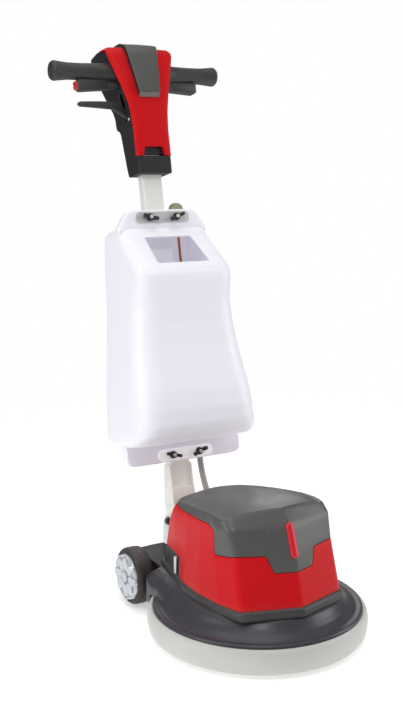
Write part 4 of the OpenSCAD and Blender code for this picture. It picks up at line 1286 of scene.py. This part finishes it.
def hub_face(radius, turn):
    """Radius and x of the hub's face: a domed cap, eight raised petals and a scalloped rim."""
    scallop = math.cos(8 * turn)
    if radius < 11.8:
        x = 184.6 - 1.8 * (radius / 11.8) ** 2
    else:
        x = 177.2 + 1.4 * smoothstep((radius - 40) / 6)
    if 14 < radius < 46:
        off_middle = abs(((turn * 8 / TURN + 0.5) % 1) - 0.5) * TURN / 8
        share = max(0.0, min(1.0, (radius - 15) / 31))
        half_width = 3.6 + 7.6 * math.sin(math.pi * share) ** 0.7
        inside = half_width - radius * math.sin(off_middle)
        ends = smoothstep((45.6 - radius) / 3.0) * smoothstep((radius - 15.0) / 2.6)
        x += 4.4 * smoothstep((inside + 0.8) / 2.6) * ends
    if radius > 45:
        x += 3.0 * smoothstep((radius - 45) / 2.2) * (0.66 + 0.34 * scallop)
        x -= 4.6 * smoothstep((radius - 49.2) / 2.0) ** 2
    if x > 176.6:
        radius += 1.6 * scallop * smoothstep((radius - 42) / 4)
    return radius, x + OUTER_SHIFT


def wheel_hub(side, name):
    turns = [TURN * k / 192 for k in range(192)]
    sections = [[hub_face(radius, turn) for turn in turns] for radius in HUB_RADII]
    sections += [[point] * len(turns) for point in HUB_BACK]
    rows = [[(side * x, WHEEL_Y + radius * math.cos(turn), WHEEL_Z + radius * math.sin(turn))
             for (radius, x), turn in zip(section, turns)] for section in sections]
    finish(build(name + "_v", [grid(rows)], BASE, weld=2e-5), BODY[name], "hub_silver", angle=35)


for side, word in ((1, "right"), (-1, "left")):
    tyre(side, "tyre_" + word)
    wheel_hub(side, "wheel_hub_" + word)


# ------------------------------------------------------------------ hose and cable
# each has one end on the base and the other on the pole, and bends between them
def solution_hose():
    top, base = pole_point(58, -4, 200), vec((66.0, 232, 112))
    path = [pole_point(58, -4, 214), pole_point(58, -4, 207)]
    path += bezier(top, pole_point(57, -4, 130), vec((48.0, 254, 160)), base, 40)
    path += [(69.0, 230.6, 100), (71.6, 230, 84), (72.0, 230, 70)]
    ob = build("solution_hose_v", [tube(path, 7.0, 24)], BASE)
    finish(ob, None, "hose_grey", angle=50)
    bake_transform(ob)


def power_cable():
    on_pole = [(4, 1004), (4, 800), (4, 600), (4, 400), (4, 220), (4, 124), (3, 106), (-8, 90),
               (-27, 83)]
    on_base = [(272, 171), (244, 156), (216, 150.6), (188, 150)]
    points = [pole_point(14, y, z) for y, z in on_pole]
    points += [vec((14.0, y, z)) for y, z in on_base]
    ob = build("power_cable_v", [tube(spline(points, 10), 3.6, 16)], BASE)
    finish(ob, None, "cable_black", angle=50)
    tuple(vec((14.0, 244, 156)) * 0.001)
    tuple(pole_point(14, -8, 90) * 0.001)
    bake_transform(ob)


solution_hose()
power_cable()


# ------------------------------------------------------------------ tank clamps and their bolts
def tank_clamps():
    """At each clamp height, a round-ended plate in front and a flat bar behind."""
    centre_x, radius = 57, 13
    # y, inset
    layers = [(-43.1, 1.0), (-43.1, 0.3), (-43.3, 0.0), (-45.2, 0.0), (-45.9, 0.35),
              (-46.15, 1.1), (-46.15, 2.4)]
    parts = []
    for height in CLAMP_HEIGHTS:
        ring = []
        for side in (1, -1):
            for k in range(25):
                turn = -side * math.pi / 2 + math.pi * k / 24
                ring.append((side * centre_x + radius * math.cos(turn),
                             height + radius * math.sin(turn)))

        def shrunk(x, z, amount):
            end = math.copysign(centre_x, x)
            return (x - (x - end) / radius * amount if abs(x) > centre_x else x,
                    z - (z - height) / radius * amount)

        parts.append(loft("y", [([shrunk(x, z, amount) for x, z in ring], y)
                                for y, amount in layers]))
        bar = rectangle(-44, height - 11, 44, height + 11, 2.0, 4)
        parts.append(prism("y", bar, -17.9, -13.1))
    ob = build("tank_clamps_v", parts, POLE)
    subtract(ob, *stud_holes(-60, 0))
    finish(ob, "handle", "zinc_steel", "white_plate", angle=35)
    # the lower clamp's front plate takes white_plate, which carries a painted glow
    paint(ob, lambda centre, face: int(centre.z < 400 and centre.y < -40))


def wing_nuts():
    seat = -46.2
    nut = rounded([(4.1, seat), (8.8, seat), (8.8, -49.5), (7.2, -55.4), (4.1, -55.6)],
                  [0.1, 0.8, 0.8, 0.8, 0.1], 3)
    blade = rounded([(4.2, -0.6), (17.8, -3.0), (20.4, -12.8), (12.4, -15.2), (6.4, -9.4)],
                    [1, 3.4, 4, 4, 3], 4)
    # offset across the blade, shrink towards its middle
    layers = [(-3.6, 1.0), (-3.0, 0.3), (-2.0, 0), (2.0, 0), (3.0, 0.3), (3.6, 1.0)]
    parts = []
    for x, z in STUDS:
        parts.append(revolve(nut, 28, "y", True, (x, 0, z)))
        turn = math.radians(20 if x > 0 else -15)
        cos, sin = math.cos(turn), math.sin(turn)
        for side in (-1, 1):
            rows = []
            for across, shrink in layers:
                row = []
                for reach_out, lift in blade:
                    out = side * (reach_out + (12 - reach_out) * shrink / 9)
                    lifted = lift + (-7.5 - lift) * shrink / 9
                    row.append((x + out * cos - across * sin, seat + lifted,
                                z + out * sin + across * cos))
                rows.append(row)
            parts.append(grid(rows, caps=(True, True)))
    finish(build("wing_nuts_v", parts, POLE), "handle", "black_plastic", angle=40)


def tank_u_bolts():
    """Two threaded legs and a cross bar at each clamp height."""
    leg = [(0.01, 17.0), (4.0, 17.0), (4.0, -34.0)]
    for k in range(25):         # the thread, 1 mm a turn
        y = -34.0 - k
        leg += [(3.95, y - 0.15), (3.45, y - 0.5), (3.95, y - 0.85)]
    leg += [(3.9, -59.4), (3.2, -60.0), (0.01, -60.0)]
    bar = rectangle(-39.5, 13.3, 39.5, 19.8, 1.6, 4)
    parts = []
    for z in CLAMP_HEIGHTS:
        parts += [revolve(leg, 24, "y", False, (x, 0, z)) for x in (-34, 34)]
        parts.append(prism("z", bar, z - 5.5, z + 5.5))
    finish(build("tank_u_bolts_v", parts, POLE), "handle", "zinc_steel", angle=40)


tank_clamps()
wing_nuts()
tank_u_bolts()


# ------------------------------------------------------------------ floor pad and cheek bolts
def floor_pad():
    """A fibre disc with a worn lower edge and a slightly wavy rim."""
    _, (outer, _, top) = box_mm("floor_pad")
    profile = [(40, top), (outer - 3, top), (outer - 0.5, top - 2)]
    profile += [(outer - 0.5 - 26 * smoothstep(k / 9) ** 1.2,
                 (top - 3) * (1 - k / 9) ** 1.6 + 0.35) for k in range(10)]
    profile += [(outer - 34, 0.0), (90, 0.0), (41.5, 0.0), (40, 1.4)]
    rows = []
    for k in range(256):
        turn = TURN * k / 256
        wave = 0.5 * math.sin(23 * turn) + 0.4 * math.sin(41 * turn + 1)
        row = []
        for radius, z in profile:
            if radius > 150:
                radius += wave
            row.append((radius * math.cos(turn), radius * math.sin(turn), z))
        rows.append(row)
    part = grid(rows, close_v=True)
    finish(build("floor_pad_v", [part], BASE), BODY["floor_pad"], "pad_fibre", angle=50)


def cheek_bolts():
    """A washer and a hexagon head high on each bracket cheek."""
    y, z = 320, 152
    washer = [(0.01, 38.9), (9.6, 38.9), (9.9, 39.3), (9.9, 40.5), (9.5, 40.9), (0.01, 40.9)]
    # x, radius
    head = [(40.7, 7.4), (45.6, 7.4), (46.4, 7.0), (46.8, 6.2), (46.8, 3.2), (46.2, 2.8)]
    parts = []
    for side in (-1, 1):
        profile = [(radius, side * x) for radius, x in washer[::side]]
        parts.append(revolve(profile, 40, "x", False, (0, y, z)))
        rows = [[(side * x, y + radius * math.cos(math.pi * k / 3 + 0.3),
                  z + radius * math.sin(math.pi * k / 3 + 0.3)) for k in range(6)]
                for x, radius in head]
        parts.append(grid(rows, caps=(True, True)))
    finish(build("cheek_bolts_v", parts, BASE), "base", "grip_plastic", slot="zinc_steel",
           angle=30, replace=False)


floor_pad()
cheek_bolts()

# ------------------------------------------------------------------ CAD pieces with broken edges
# bevel width of each, in mm
EDGES = {
    "pole": 0.5, "pole_yoke": 1.6, "handle_bracket": 1.6, "bracket_bolts": 0.6,
    "pivot_bolt": 0.8, "axle": 0.6, "hood_clips": 1.2, "valve_body": 0.8, "valve_knob": 1.0,
    "lever_pin": 0.5, "lock_rod": 0.4, "gearbox_housing": 1.2, "gearbox_bolts": 0.5,
    "motor_flange": 1.0, "motor_housing": 1.0, "motor_end_bell": 1.5, "capacitors": 1.6,
    "drive_flange": 1.0, "pad_driver": 1.0, "planet_carrier": 0.6, "planet_pins": 0.4,
    "switch_box": 0.8, "handlebar_tube": 0.5, "cooling_fan": 0.5, "stator_windings": 1.5,
}
for node in frame["nodes"]:
    if node in EDGES:
        slot = slot_of(node)
        finish(cad_copy(node), BODY[node], slot if slot in MATERIALS else "zinc_steel",
               slot=slot, angle=50, bevel=EDGES[node], miter="MITER_ARC")


# ------------------------------------------------------------------ floor, light and camera
def floor_material():
    """A softly lit near-white that fades to nothing away from the machine."""
    mat = bpy.data.materials.new("floor")
    tree = empty_tree(mat)
    output = add_node(tree, "OutputMaterial")
    surface = add_node(tree, "BsdfPrincipled", {"Roughness": 0.62, "Specular IOR Level": 0.25})
    patches = add_node(tree, "TexNoise", {"Scale": 2.0}).outputs[0]
    colour = mix_colour(tree, patches, (0.90, 0.90, 0.905, 1), (0.93, 0.93, 0.935, 1))
    feed(surface, {"Base Color": colour})
    glow = add_node(tree, "Emission", {0: (1, 1, 1, 1), 1: 0.42})       # colour, strength
    lit = add_node(tree, "AddShader", {0: surface.outputs[0], 1: glow.outputs[0]})
    clear = add_node(tree, "BsdfTransparent")
    position = add_node(tree, "NewGeometry").outputs["Position"]
    distance = add_node(tree, "VectorMath", {0: position}, operation="LENGTH").outputs["Value"]
    fade = remap(tree, distance, 0.75, 2.6, interpolation_type="SMOOTHSTEP")
    blend = add_node(tree, "MixShader", {0: fade, 1: lit.outputs[0], 2: clear.outputs[0]})
    feed(output, {0: blend.outputs[0]})
    return mat


def floor():
    rows = [[(x, y, 0) for x, y in circle(0, 0, radius, 96)]
            for radius in (0.05, 0.6, 1.5, 4.0, 9.0)]       # metres
    vertices, faces = grid(rows, caps=(True, False))
    mesh = bpy.data.meshes.new("floor")
    mesh.from_pydata(vertices, [], faces)
    mesh.update()
    ob = add_object("floor", mesh)
    mesh.materials.append(floor_material())


def studio_world():
    """White to the camera, and a dim cool light on everything else."""
    world = bpy.data.worlds.new("studio")
    bpy.context.scene.world = world
    tree = empty_tree(world)
    output = add_node(tree, "OutputWorld")
    camera_ray = add_node(tree, "LightPath").outputs["Is Camera Ray"]
    light = add_node(tree, "Background", {0: (0.95, 0.96, 1.0, 1), 1: 0.19})
    backdrop = add_node(tree, "Background", {0: (1.0, 1.0, 1.0, 1), 1: 1.0})
    blend = add_node(tree, "MixShader",
                     {0: camera_ray, 1: light.outputs[0], 2: backdrop.outputs[0]})
    feed(output, {0: blend.outputs[0]})


def aim(ob, direction):
    ob.rotation_euler = direction.to_track_quat("-Z", "Y").to_euler()


# name, place and target in metres, size in metres, power in watts
LIGHTS = [
    ("key_left", (-2.6, 0.1, 1.5), (0, 0.15, 0.55), (1.6, 2.2), 36),
    ("fill_right", (2.6, -0.9, 1.3), (0, 0.15, 0.5), (1.3, 2.2), 34),
    ("top_soft", (-0.2, 0.2, 3.2), (0, 0.2, 0.4), (2.4, 2.4), 31),
    ("front_low", (-1.2, -3.2, 1.2), (0, 0.2, 0.6), (1.6, 1.6), 1),
    ("glint", (-0.7, -1.5, 2.5), (0, 0, 0.1), (0.45, 0.45), 12),
    ("back_right", (1.4, 2.6, 1.8), (0, 0.3, 0.7), (1.6, 1.8), 16),
]


def lights():
    for name, place, target, size, power in LIGHTS:
        light = bpy.data.lights.new(name, "AREA")
        light.shape = "RECTANGLE"
        light.size, light.size_y = size
        light.energy = power
        ob = add_object(name, light)
        ob.location = place
        aim(ob, Vector(target) - Vector(place))


def camera():
    lens = bpy.data.cameras.new("camera")
    lens.sensor_width = 36
    lens.lens = 53.97
    ob = add_object("camera", lens)
    ob.location = (-1.1534, -1.7882, 0.9749)
    aim(ob, Vector((0.4868, 0.8541, -0.1828)))
    bpy.context.scene.camera = ob


floor()
studio_world()
lights()
camera()
bpy.context.scene.view_settings.view_transform = "Standard"
